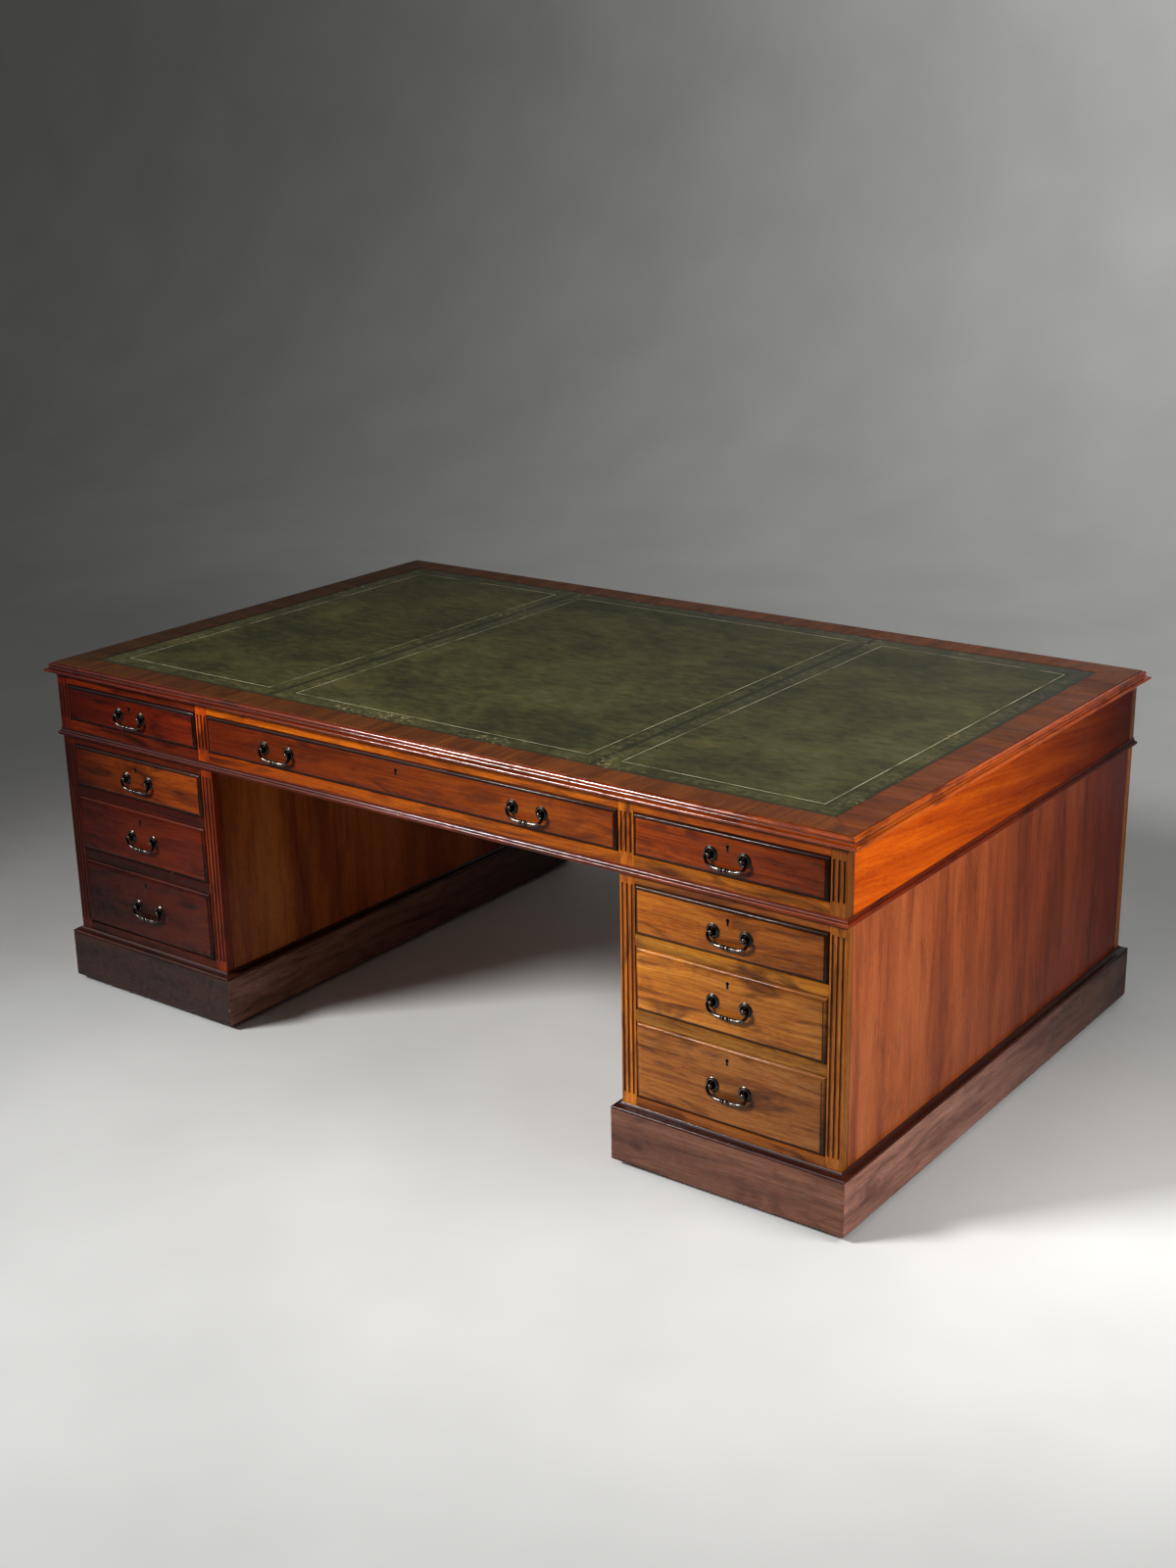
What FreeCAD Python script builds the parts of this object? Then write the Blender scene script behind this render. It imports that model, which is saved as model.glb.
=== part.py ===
import FreeCAD, Part
import math
import os

# Mahogany partners desk: a leather-topped frieze section standing on two pedestals.
# Millimetres. X runs along the front, Y from the front to the back, Z up.
# The origin is on the floor, under the middle of the top. -Y is the side with the pedestal drawers.

V = FreeCAD.Vector

# ---------------------------------------------------------------- driving dimensions
# overall
desk_height = 780.0
carcass_length = 2054.0
frieze_depth = 1254.0
pedestal_depth = 1250.0
pedestal_width = 484.0

# top
top_board_thickness = 20.0
top_end_overhang = 8.0
crossband_thickness = 2.0
crossband_end_width = 75.0
crossband_front_width = 69.0
leather_thickness = 1.6
leather_seam_from_middle = 427.0

# moulded edge of the top: a fillet, an ovolo, a quirk, a hollow and a nosing
edge_projection = 16.5
edge_fillet = 1.2
edge_fillet_drop = 1.4
edge_ovolo_width = 8.0
edge_ovolo_drop = 8.8
edge_ovolo_rise = 2.4
edge_quirk = 1.6
edge_nosing = 7.0
edge_hollow_rise = 1.0

# frieze section
frieze_height = 149.0
frieze_drawer_height = 86.0
frieze_bottom_rail = 40.0
bead_height = 17.5
bead_projection = 7.0
bead_nose = 4.0
bead_nose_height = 10.0
bead_hollow_rise = 1.0
end_thickness = 20.0
partition_thickness = 20.0
spine_thickness = 20.0

# pedestals
frame_thickness = 22.0
stile_width = 34.0
top_rail = 16.0
middle_rail = 23.5
bottom_rail = 32.0
drawer_graduation = 30.0
pedestal_side_thickness = 18.0
pedestal_board_thickness = 12.0
dustboard_thickness = 6.0
shelf_setback = 36.0
shelf_ledge = 14.0
locating_block_length = 80.0
locating_block_width = 18.0
locating_block_height = 14.0
locating_gap = 0.5

# flutes of the stiles
flute_pitch = 10.6
flute_width = 5.6
flute_from_opening_end = 3.0
flute_sides = 6

# plinths
plinth_clearance = 12.0
plinth_height = 109.0
plinth_projection = 17.0
plinth_board_thickness = 25.0
plinth_bead = 6.0
plinth_hollow = 5.0
plinth_fillet = 1.5
corner_block = 84.0

# drawers
front_thickness = 22.0
front_projection = 5.0
front_ovolo = 8.0
front_step = 1.5
side_gap = 1.0
top_gap = 1.2
running_gap = 0.3
back_gap = 12.0
lining_thickness = 12.0
drawer_bottom_thickness = 8.0
drawer_bottom_height = 8.0
groove_depth = 6.0
side_drop = 4.0
dovetail_lap = 9.0
dovetail_pitch = 44.0
dovetail_pin = 6.0
dovetail_slope = 1.0 / 6.0
runner_height = 20.0
runner_width = 20.0

# locks
lock_width = 44.0
lock_height = 44.0
lock_depth = 12.0
keyhole_drop = 23.0
keyhole_radius = 2.7
keyhole_slot_width = 2.8
keyhole_slot_length = 10.0
escutcheon_rim = 1.3
escutcheon_depth = 4.0

# handles; their small round parts are drawn with flat facets
fitting_sides = 8
turning_clearance = 0.05
post_spacing = 71.0
centre_handle_offset = 332.0
pedestal_handle_offset = 4.0
rose_radius = 14.5
rose_edge = 1.2
rose_shoulder_radius = 11.5
rose_shoulder = 3.2
rose_height = 4.6
post_radius = 3.2
post_out = 9.0
bail_pin_radius = 1.2
bail_bar_radius = 2.8
bail_drop = 23.0
bail_corner_radius = 16.0
bail_grip_radius = 4.8
bail_swell_half_length = 24.0
bail_grip_half_length = 10.0
bail_neck_radius = 3.4
bail_collar_radius = 5.4
bail_collar_half_width = 2.4

# cupboard doors
door_thickness = 20.0
door_stile = 55.0
door_bottom_rail = 70.0
door_panel_thickness = 8.0
door_ovolo = 6.0
door_hinge_gap = 2.8
hinge_height = 60.0
hinge_leaf = 1.2
hinge_leaf_depth = 17.0
hinge_knuckle_radius = 3.6
hinge_pin_radius = 1.6
hinge_off_face = 0.6
hinge_from_end = 70.0

# castors
castor_height = 52.0
castor_wheel_radius = 18.0
castor_wheel_width = 13.0
castor_wheel_sides = 24
castor_wheel_gap = 1.0
castor_trail = 12.0
castor_plate = 46.0
castor_plate_thickness = 3.0
castor_from_board = 50.0
castor_axle_radius = 2.5
castor_pin_radius = 4.0
castor_pin_head = 2.0
castor_crown = 26.0
castor_arm_width = 18.0
castor_arm_thickness = 2.5
castor_boss_radius = 6.0

# ---------------------------------------------------------------- derived places
half_length = carcass_length / 2
half_frieze = frieze_depth / 2
half_pedestal = pedestal_depth / 2
kneehole = half_length - pedestal_width

board_top = desk_height - crossband_thickness
frieze_top = board_top - top_board_thickness
frieze_bottom = frieze_top - frieze_height
pedestal_bottom = plinth_clearance + plinth_height

half_top_length = half_length + top_end_overhang
half_leather_length = half_top_length - crossband_end_width
half_leather_depth = half_frieze - crossband_front_width

frieze_open_bottom = frieze_bottom + frieze_bottom_rail
frieze_open_top = frieze_open_bottom + frieze_drawer_height

# openings over the pedestals run between these two faces of the stiles
open_inner = kneehole + stile_width
open_outer = half_length - stile_width
open_width = open_outer - open_inner
open_centre = (open_inner + open_outer) / 2

# pedestal drawers grow downwards by one graduation each
drawer_levels = ("top", "middle", "bottom")
level_count = len(drawer_levels)
pedestal_open_top = frieze_bottom - top_rail
pedestal_open_bottom = pedestal_bottom + bottom_rail
rails_between = (level_count - 1) * middle_rail
drawer_mean = (pedestal_open_top - pedestal_open_bottom - rails_between) / level_count

frieze_drawer_depth = half_frieze - spine_thickness / 2 - back_gap
pedestal_drawer_depth = half_pedestal - pedestal_board_thickness / 2 - back_gap

# a quarter circle's middle stands off its chord by this share of its radius
quarter_round_rise = 1 - math.sqrt(0.5)


def level_height(level):
    """Height of a pedestal drawer opening, level 0 being the top one."""
    return drawer_mean + (level - (level_count - 1) / 2) * drawer_graduation


def level_span(level):
    """Lowest and highest z of a pedestal drawer opening."""
    high = pedestal_open_top
    for above in range(level):
        high -= level_height(above) + middle_rail
    return high - level_height(level), high


# ---------------------------------------------------------------- basic shapes
def block(x0, x1, y0, y1, z0, z1):
    return Part.makeBox(abs(x1 - x0), abs(y1 - y0), z1 - z0, V(min(x0, x1), min(y0, y1), z0))


def bowed(start, end, rise):
    """Step of an outline: an arc whose middle stands off the chord, to the left if rise is over 0."""
    run_a = end[0] - start[0]
    run_b = end[1] - start[1]
    length = math.hypot(run_a, run_b)
    middle = ((start[0] + end[0]) / 2 - run_b / length * rise,
              (start[1] + end[1]) / 2 + run_a / length * rise)
    return middle, end


def end_of(step):
    """The point where a step of an outline ends. A step is a point, or an arc made by bowed."""
    return step[1] if isinstance(step[0], tuple) else step


def outline(path, place):
    """Closed face. place turns the two numbers of a point into a position."""
    edges = []
    here = path[0]
    for step in path[1:] + path[:1]:
        end = end_of(step)
        if end is not step:
            edges.append(Part.Arc(place(*here), place(*step[0]), place(*end)).toShape())
        elif end != here:
            edges.append(Part.makeLine(place(*here), place(*end)))
        here = end
    return Part.Face(Part.Wire(edges))


def flat_face(corners):
    """Face through corners, of which neighbours may be the same point."""
    distinct = [corner for count, corner in enumerate(corners)
                if not corner.isEqual(corners[count - 1], 1e-6)]
    return Part.Face(Part.makePolygon(distinct + distinct[:1]))


def run_direction(points, index, step):
    """Direction of the first run of any length that leaves a point towards one end of a path."""
    while 0 <= index + step < len(points):
        run = (points[index + step] - points[index]) * step
        if run.Length > 0:
            return run.normalize()
        index += step
    return None


def faceted_rod(stations, square, sides=fitting_sides, phase=0.5):
    """Rod with flat facets through (point, radius) stations in one plane, mitred at each turn.

    square is the direction square to that plane. A radius is measured to the corners.
    """
    points = [point for point, _ in stations]
    angles = [2 * math.pi * (count + phase) / sides for count in range(sides)]
    rings = []
    for index, (point, radius) in enumerate(stations):
        before = run_direction(points, index, -1)
        after = run_direction(points, index, 1)
        before = after if before is None else before
        after = before if after is None else after
        along = (before + after).normalize()
        across = square.cross(along) / along.dot(before)
        rings.append([point + square * (radius * math.cos(angle)) + across * (radius * math.sin(angle))
                      for angle in angles])
    faces = [flat_face(rings[end]) for end in (0, -1) if stations[end][1] > 0]
    for ring, following in zip(rings, rings[1:]):
        for count in range(sides):
            faces.append(flat_face([ring[count - 1], ring[count], following[count], following[count - 1]]))
    shell = Part.Shell(faces)
    shell.sewShape()
    return Part.Solid(shell)


def straight_rod(start, end, radius, square):
    return faceted_rod([(start, radius), (end, radius)], square)


def turning_hole(radius):
    """Corner radius of the faceted hole in which a faceted rod can turn."""
    return (radius + turning_clearance) / math.cos(math.pi / fitting_sides)


def mitred_frame(half_x, half_y, centre_x, path, reach):
    """Four lengths of moulding, mitred round a rectangle. The path holds (outward, z) steps."""
    low = min(end_of(step)[1] for step in path)
    height = max(end_of(step)[1] for step in path) - low
    long_x = half_x + reach
    long_y = half_y + reach
    lengths = []
    for turn in (-1, 1):
        run = outline(path, lambda d, z: V(centre_x - long_x, turn * (half_y + d), z))
        plan = [(half_x, half_y), (-half_x, half_y), (-long_x, long_y), (long_x, long_y)]
        wedge = outline(plan, lambda x, y: V(centre_x + x, turn * y, low))
        lengths.append(run.extrude(V(2 * long_x, 0, 0)).common(wedge.extrude(V(0, 0, height))))
    for turn in (-1, 1):
        run = outline(path, lambda d, z: V(centre_x + turn * (half_x + d), -long_y, z))
        plan = [(half_x, half_y), (half_x, -half_y), (long_x, -long_y), (long_x, long_y)]
        wedge = outline(plan, lambda x, y: V(centre_x + turn * x, y, low))
        lengths.append(run.extrude(V(0, 2 * long_y, 0)).common(wedge.extrude(V(0, 0, height))))
    return lengths


def fluted(stile, centre_x, face_y, z0, z1):
    """Cuts three flutes with tapered ends into the face of a stile, beside its opening."""
    radius = flute_width / 2
    low = z0 + flute_from_opening_end
    high = z1 - flute_from_opening_end
    for count in (-1, 0, 1):
        x = centre_x + count * flute_pitch
        stations = [(V(x, face_y, low), 0), (V(x, face_y, low + radius), radius),
                    (V(x, face_y, high - radius), radius), (V(x, face_y, high), 0)]
        stile = stile.cut(faceted_rod(stations, V(1, 0, 0), flute_sides, 0))
    return stile


# ---------------------------------------------------------------- top
def make_top_board():
    return [block(-half_top_length, half_top_length, -half_frieze, half_frieze, frieze_top, board_top)]


def make_crossbanding():
    """Four mitred strips of saw-cut veneer round the leather."""
    strips = []
    for turn in (-1, 1):
        along = [(half_top_length, half_frieze), (half_leather_length, half_leather_depth),
                 (-half_leather_length, half_leather_depth), (-half_top_length, half_frieze)]
        strips.append(outline(along, lambda x, y: V(x, turn * y, board_top)))
        across = [(half_top_length, half_frieze), (half_leather_length, half_leather_depth),
                  (half_leather_length, -half_leather_depth), (half_top_length, -half_frieze)]
        strips.append(outline(across, lambda x, y: V(turn * x, y, board_top)))
    return [strip.extrude(V(0, 0, crossband_thickness)) for strip in strips]


def make_leather():
    """Three skivers, laid edge to edge inside the crossbanding."""
    seams = (-half_leather_length, -leather_seam_from_middle, leather_seam_from_middle, half_leather_length)
    return [block(left, right, -half_leather_depth, half_leather_depth,
                  board_top, board_top + leather_thickness)
            for left, right in zip(seams, seams[1:])]


def make_top_edge():
    """Ovolo over a quirk, with a hollow running out to a nosing below it."""
    crest = (edge_fillet, desk_height - edge_fillet_drop)
    ovolo_foot = (edge_ovolo_width, desk_height - edge_ovolo_drop)
    quirk_top = (edge_ovolo_width - edge_quirk, ovolo_foot[1])
    quirk_foot = (quirk_top[0], quirk_top[1] - edge_quirk)
    nosing_top = (edge_projection - edge_nosing / 2, frieze_top + edge_nosing)
    nosing_foot = (nosing_top[0], frieze_top)
    path = [(0.0, frieze_top), (0.0, crest[1]), crest,
            bowed(crest, ovolo_foot, edge_ovolo_rise), quirk_top, quirk_foot,
            bowed(quirk_foot, nosing_top, -edge_hollow_rise),
            bowed(nosing_top, nosing_foot, edge_nosing / 2)]
    return mitred_frame(half_top_length, half_frieze, 0, path, edge_projection)


# ---------------------------------------------------------------- frieze section
def make_frieze_frames():
    """Front and back frames: four fluted uprights, with rails above and below the drawers."""
    solids = []
    uprights = ((-half_length, -open_outer), (-open_inner, -kneehole),
                (kneehole, open_inner), (open_outer, half_length))
    for outward in (-1, 1):
        face = outward * half_frieze
        back = outward * (half_frieze - frame_thickness)
        for left, right in uprights:
            stile = block(left, right, face, back, frieze_bottom, frieze_top)
            solids.append(fluted(stile, (left + right) / 2, face, frieze_open_bottom, frieze_open_top))
        for before, after in zip(uprights, uprights[1:]):
            solids.append(block(before[1], after[0], face, back, frieze_bottom, frieze_open_bottom))
            solids.append(block(before[1], after[0], face, back, frieze_open_top, frieze_top))
    return solids


def make_frieze_ends():
    inside = half_frieze - frame_thickness
    return [block(side * half_length, side * (half_length - end_thickness),
                  -inside, inside, frieze_bottom, frieze_top)
            for side in (-1, 1)]


def make_frieze_partitions():
    """Partitions beside the kneehole, the spine between front and back, and drawer bearers."""
    inside = half_frieze - frame_thickness
    spine = spine_thickness / 2
    wall = kneehole + partition_thickness
    end_wall = half_length - end_thickness
    solids = [block(-kneehole, kneehole, -spine, spine, frieze_bottom, frieze_top)]
    for side in (-1, 1):
        solids.append(block(side * kneehole, side * wall, -inside, inside, frieze_bottom, frieze_top))
        solids.append(block(side * wall, side * end_wall, -spine, spine, frieze_bottom, frieze_top))
        for turn in (-1, 1):
            y0 = turn * spine
            y1 = turn * inside
            # a runner below and a kicker above each drawer side
            spans = ((kneehole - runner_width, kneehole), (wall, open_inner + runner_width),
                     (open_outer - runner_width, end_wall))
            for left, right in spans:
                solids.append(block(side * left, side * right, y0, y1,
                                    frieze_open_bottom - runner_height, frieze_open_bottom))
                solids.append(block(side * left, side * right, y0, y1, frieze_open_top, frieze_top))
            # guides keep the drawers over the pedestals straight
            for left, right in ((wall, open_inner), (open_outer, end_wall)):
                solids.append(block(side * left, side * right, y0, y1,
                                    frieze_open_bottom, frieze_open_bottom + runner_height))
    return solids


def make_bead():
    """Bead round the foot of the frieze section, with a fillet and a hollow above it."""
    low = frieze_bottom
    high = frieze_bottom + bead_height
    out = bead_projection - bead_nose
    hollow_top = (out / 2, high)
    nose_top = (out, low + bead_nose_height)
    path = [(0.0, low), (0.0, high), hollow_top, bowed(hollow_top, nose_top, -bead_hollow_rise),
            bowed(nose_top, (out, low), bead_nose)]
    return mitred_frame(half_length, half_frieze, 0, path, bead_projection)


# ---------------------------------------------------------------- pedestals
def make_pedestal_frames(side):
    """Front frame with three drawer openings and back frame with a door opening."""
    solids = []
    for outward in (-1, 1):
        face = outward * half_pedestal
        back = outward * (half_pedestal - frame_thickness)
        for left, right in ((kneehole, open_inner), (open_outer, half_length)):
            stile = block(side * left, side * right, face, back, pedestal_bottom, frieze_bottom)
            solids.append(fluted(stile, side * (left + right) / 2, face,
                                 pedestal_open_bottom, pedestal_open_top))
        rails = [(pedestal_open_top, frieze_bottom), (pedestal_bottom, pedestal_open_bottom)]
        if outward < 0:
            for level in range(1, level_count):
                high = level_span(level)[1]
                rails.append((high, high + middle_rail))
        for low, high in rails:
            solids.append(block(side * open_inner, side * open_outer, face, back, low, high))
    return solids


def make_pedestal_carcass(side):
    """Sides, top, bottom, division, drawer bearers, dustboards, and the cupboard's shelf."""
    inside = half_pedestal - frame_thickness
    board = pedestal_board_thickness
    wall_in = kneehole + pedestal_side_thickness
    wall_out = half_length - pedestal_side_thickness
    division = board / 2

    def across(left, right, y0, y1, z0, z1):
        return block(side * left, side * right, y0, y1, z0, z1)

    solids = [
        across(kneehole, wall_in, -inside, inside, pedestal_bottom, frieze_bottom),
        across(wall_out, half_length, -inside, inside, pedestal_bottom, frieze_bottom),
        across(wall_in, wall_out, -inside, inside, pedestal_bottom, pedestal_bottom + board),
        across(wall_in, wall_out, -inside, inside, frieze_bottom - board, frieze_bottom),
        across(wall_in, wall_out, -division, division, pedestal_bottom + board, frieze_bottom - board)]

    for level in range(level_count):
        bottom = level_span(level)[0]
        # the bottom drawer's runners stand on the bottom board
        runner_low = max(bottom - runner_height, pedestal_bottom + board)
        for left, right in ((wall_in, open_inner + runner_width), (open_outer - runner_width, wall_out)):
            solids.append(across(left, right, -inside, -division, runner_low, bottom))
        for left, right in ((wall_in, open_inner), (open_outer, wall_out)):
            solids.append(across(left, right, -inside, -division, bottom, bottom + runner_height))
        if level < level_count - 1:
            low = bottom - (runner_height + dustboard_thickness) / 2
            solids.append(across(open_inner + runner_width, open_outer - runner_width,
                                 -inside, -division, low, low + dustboard_thickness))

    shelf = (pedestal_open_bottom + pedestal_open_top) / 2
    front = inside - shelf_setback
    solids.append(across(wall_in, wall_out, division, front, shelf, shelf + board))
    for left, right in ((wall_in, wall_in + shelf_ledge), (wall_out - shelf_ledge, wall_out)):
        solids.append(across(left, right, division, front, shelf - shelf_ledge, shelf))
    return solids + make_locating_blocks(side)


def make_locating_blocks(side):
    """Blocks on the pedestal's top, inside the corners of the frieze section, which drops over them."""
    inner = kneehole + partition_thickness + locating_gap
    outer = half_length - end_thickness - locating_gap
    end = min(half_frieze, half_pedestal) - frame_thickness - locating_gap
    blocks = []
    for left, right in ((inner, inner + locating_block_width), (outer - locating_block_width, outer)):
        for turn in (-1, 1):
            blocks.append(block(side * left, side * right, turn * end, turn * (end - locating_block_length),
                                frieze_bottom, frieze_bottom + locating_block_height))
    return blocks


def plinth_rectangle():
    """Half the length and half the depth of a plinth, without its moulding."""
    return pedestal_width / 2 + plinth_projection, half_pedestal + plinth_projection


def make_plinth(side):
    """Mitred boards, the moulding on their top edge, and blocks in the corners."""
    centre = side * (kneehole + pedestal_width / 2)
    low = plinth_clearance
    high = pedestal_bottom
    inner_x, inner_y = (half - plinth_board_thickness for half in plinth_rectangle())
    board = [(0.0, low), (0.0, high), (plinth_board_thickness, high), (plinth_board_thickness, low)]
    solids = mitred_frame(inner_x, inner_y, centre, board, plinth_board_thickness)

    # a bead on the edge of the board, then a hollow back to the pedestal's side
    bead_top = (plinth_projection - plinth_bead / 2, high + plinth_bead)
    bead_foot = (bead_top[0], high)
    hollow_foot = (bead_top[0] - plinth_fillet, bead_top[1])
    hollow_top = (plinth_fillet, high + plinth_bead + plinth_hollow + plinth_fillet)
    path = [(0.0, high), (0.0, hollow_top[1]), hollow_top,
            bowed(hollow_top, hollow_foot, -plinth_fillet), bead_top,
            bowed(bead_top, bead_foot, plinth_bead / 2)]
    solids += mitred_frame(pedestal_width / 2, half_pedestal, centre, path, plinth_projection)

    for x_turn in (-1, 1):
        for y_turn in (-1, 1):
            x = centre + x_turn * inner_x
            y = y_turn * inner_y
            solids.append(block(x, x - x_turn * corner_block, y, y - y_turn * corner_block,
                                castor_height, high))
    return solids


# ---------------------------------------------------------------- handles
def make_post(x, face_y, z):
    """Rose and post in one casting, pointing to -Y, with the eye that a pin of the bail turns in."""
    stages = ((0.0, rose_radius), (rose_edge, rose_radius), (rose_shoulder, rose_shoulder_radius),
              (rose_height, post_radius), (post_out + post_radius, post_radius))
    post = faceted_rod([(V(x, face_y - out, z), radius) for out, radius in stages], V(1, 0, 0))
    eye = V(x, face_y - post_out, z)
    half_eye = V(post_radius, 0, 0)
    return post.cut(straight_rod(eye - half_eye, eye + half_eye, turning_hole(bail_pin_radius), V(0, 0, 1)))


def make_bail(x, face_y, z):
    """Bail hanging from its two pins: bent arms, and a swelling grip with a collar in its middle."""
    arm = post_spacing / 2 + post_radius + running_gap + bail_bar_radius
    bend = bail_corner_radius * (1 - math.tan(math.pi / 8))
    half = [(post_spacing / 2 - post_radius / 2, 0, bail_pin_radius),
            (arm - bail_bar_radius, 0, bail_pin_radius),
            (arm - bail_bar_radius, 0, bail_bar_radius),
            (arm, 0, bail_bar_radius),
            (arm, bend - bail_drop, bail_bar_radius),
            (arm - bend, -bail_drop, bail_bar_radius),
            (bail_swell_half_length, -bail_drop, bail_bar_radius),
            (bail_grip_half_length, -bail_drop, bail_grip_radius),
            (bail_collar_half_width, -bail_drop, bail_neck_radius),
            (bail_collar_half_width, -bail_drop, bail_collar_radius)]
    stations = half + [(-along, up, radius) for along, up, radius in reversed(half)]
    return faceted_rod([(V(x + along, face_y - post_out, z + up), radius) for along, up, radius in stations],
                       V(0, 1, 0))


# ---------------------------------------------------------------- drawers
def keyhole_face(x, z, grow, place):
    """A round head, drawn with flat sides, over a slot. grow adds to all sides."""
    radius = keyhole_radius + grow
    half = keyhole_slot_width / 2 + grow
    shoulder = math.acos(half / radius)
    steps = fitting_sides - 3
    turn = (math.pi + 2 * shoulder) / steps
    head = [(x + radius * math.cos(count * turn - shoulder), z + radius * math.sin(count * turn - shoulder))
            for count in range(steps + 1)]
    foot = z - keyhole_slot_length - grow
    return outline([(x - half, foot), (x + half, foot)] + head, place)


def moulded_front(width, height):
    """Drawer front whose field stands proud of the frame, with an ovolo sunk round its edges."""
    half = width / 2
    out = -front_projection
    front = block(-half, half, out, front_thickness, 0, height)
    crest = (front_ovolo, out + front_step)
    spring = (0.0, crest[1] + front_ovolo)
    path = [(0.0, out), (front_ovolo, out), crest,
            bowed(crest, spring, -front_ovolo * quarter_round_rise)]
    cutters = [
        outline(path, lambda t, y: V(-half, y, t)).extrude(V(width, 0, 0)),
        outline(path, lambda t, y: V(-half, y, height - t)).extrude(V(width, 0, 0)),
        outline(path, lambda t, y: V(t - half, y, 0)).extrude(V(0, 0, height)),
        outline(path, lambda t, y: V(half - t, y, 0)).extrude(V(0, 0, height))]
    return front.cut(cutters)


def dovetailed_side(x0, x1, height, depth):
    """Drawer side with tails that enter the back of the front."""
    tails = max(2, round(height / dovetail_pitch))
    pitch = height / tails
    tip = (pitch - dovetail_pin) / 2
    root = tip - (front_thickness - dovetail_lap) * dovetail_slope
    path = [(depth, 0.0), (front_thickness, 0.0)]
    for count in range(tails):
        middle = (count + 0.5) * pitch
        path += [(front_thickness, middle - root), (dovetail_lap, middle - tip),
                 (dovetail_lap, middle + tip), (front_thickness, middle + root)]
    path += [(front_thickness, height), (depth, height)]
    return outline(path, lambda y, z: V(x0, y, z)).extrude(V(x1 - x0, 0, 0))


def lock_in(board, lock, x, key_z, outside, lock_face):
    """Lets a lock into a board, with the keyhole through to it and a brass escutcheon.

    outside and lock_face are the y of the board's face and of the lock's near side.
    """
    keyway = keyhole_face(x, key_z, 0, lambda a, b: V(a, outside, b))
    keyway = keyway.extrude(V(0, lock_face - outside, 0))
    inward = math.copysign(escutcheon_depth, lock_face - outside)
    escutcheon = keyhole_face(x, key_z, escutcheon_rim, lambda a, b: V(a, outside, b))
    escutcheon = escutcheon.extrude(V(0, inward, 0))
    return board.cut([lock, keyway, escutcheon]), escutcheon.cut(keyway)


def drawer_height(opening_height):
    return opening_height - running_gap - top_gap


def make_drawer(opening_width, opening_height, depth, handle_xs):
    """A drawer facing -Y, with the frame's face at y = 0 and the drawer's lower edge at z = 0."""
    width = opening_width - 2 * side_gap
    height = drawer_height(opening_height)
    half = width / 2
    side_height = height - side_drop
    floor_top = drawer_bottom_height + drawer_bottom_thickness

    bottom = block(-half + groove_depth, half - groove_depth, front_thickness - groove_depth, depth,
                   drawer_bottom_height, floor_top)
    sides = [dovetailed_side(turn * half, turn * (half - lining_thickness), side_height, depth).cut(bottom)
             for turn in (-1, 1)]
    back = block(-half + lining_thickness, half - lining_thickness, depth - lining_thickness, depth,
                 floor_top, side_height - side_drop)
    lock = block(-lock_width / 2, lock_width / 2, front_thickness - lock_depth, front_thickness,
                 height - lock_height, height)
    front = moulded_front(width, height).cut([bottom] + sides)
    front, escutcheon = lock_in(front, lock, 0, height - keyhole_drop,
                                -front_projection, front_thickness - lock_depth)
    posts = [make_post(handle_x + turn * post_spacing / 2, -front_projection, height / 2)
             for handle_x in handle_xs for turn in (-1, 1)]
    return [front] + sides + [back, bottom, lock, escutcheon] + posts


def put(shapes, x, y, z, facing):
    """Moves shapes made facing -Y to their place. Facing 1 turns them to the back of the desk."""
    for shape in shapes:
        if facing > 0:
            shape.rotate(V(0, 0, 0), V(0, 0, 1), 180)
        shape.translate(V(x, y, z))
    return shapes


def make_frieze_drawers():
    """Three drawers and their bails on each long side, by name."""
    nodes = {}
    middle_handles = (("_left", -centre_handle_offset), ("_right", centre_handle_offset))
    places = (("left", -open_centre, open_width, (("", 0),)),
              ("centre", 0, 2 * kneehole, middle_handles),
              ("right", open_centre, open_width, (("", 0),)))
    z = frieze_open_bottom + running_gap
    half_height = drawer_height(frieze_drawer_height) / 2
    for facing, face_name in ((-1, "front"), (1, "back")):
        y = facing * half_frieze
        for place_name, x, opening_width, handles in places:
            name = "frieze_" + face_name + "_" + place_name
            drawer = make_drawer(opening_width, frieze_drawer_height, frieze_drawer_depth,
                                 [handle_x for _, handle_x in handles])
            nodes[name + "_drawer"] = put(drawer, x, y, z, facing)
            for ending, handle_x in handles:
                bail = make_bail(-facing * handle_x, -front_projection, half_height)
                nodes[name + ending + "_bail"] = put([bail], x, y, z, facing)
    return nodes


def make_pedestal_drawers(side, side_name):
    nodes = {}
    for level, level_name in enumerate(drawer_levels):
        name = side_name + "_pedestal_" + level_name
        low, high = level_span(level)
        drawer = make_drawer(open_width, high - low, pedestal_drawer_depth, (pedestal_handle_offset,))
        bail = make_bail(pedestal_handle_offset, -front_projection, drawer_height(high - low) / 2)
        for ending, shapes in (("_drawer", drawer), ("_bail", [bail])):
            nodes[name + ending] = put(shapes, side * open_centre, -half_pedestal, low + running_gap, -1)
    return nodes


# ---------------------------------------------------------------- cupboard doors
def hinge_places():
    """Height of the lower end of each butt hinge."""
    return (pedestal_open_bottom + hinge_from_end,
            pedestal_open_top - hinge_from_end - hinge_height)


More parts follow.
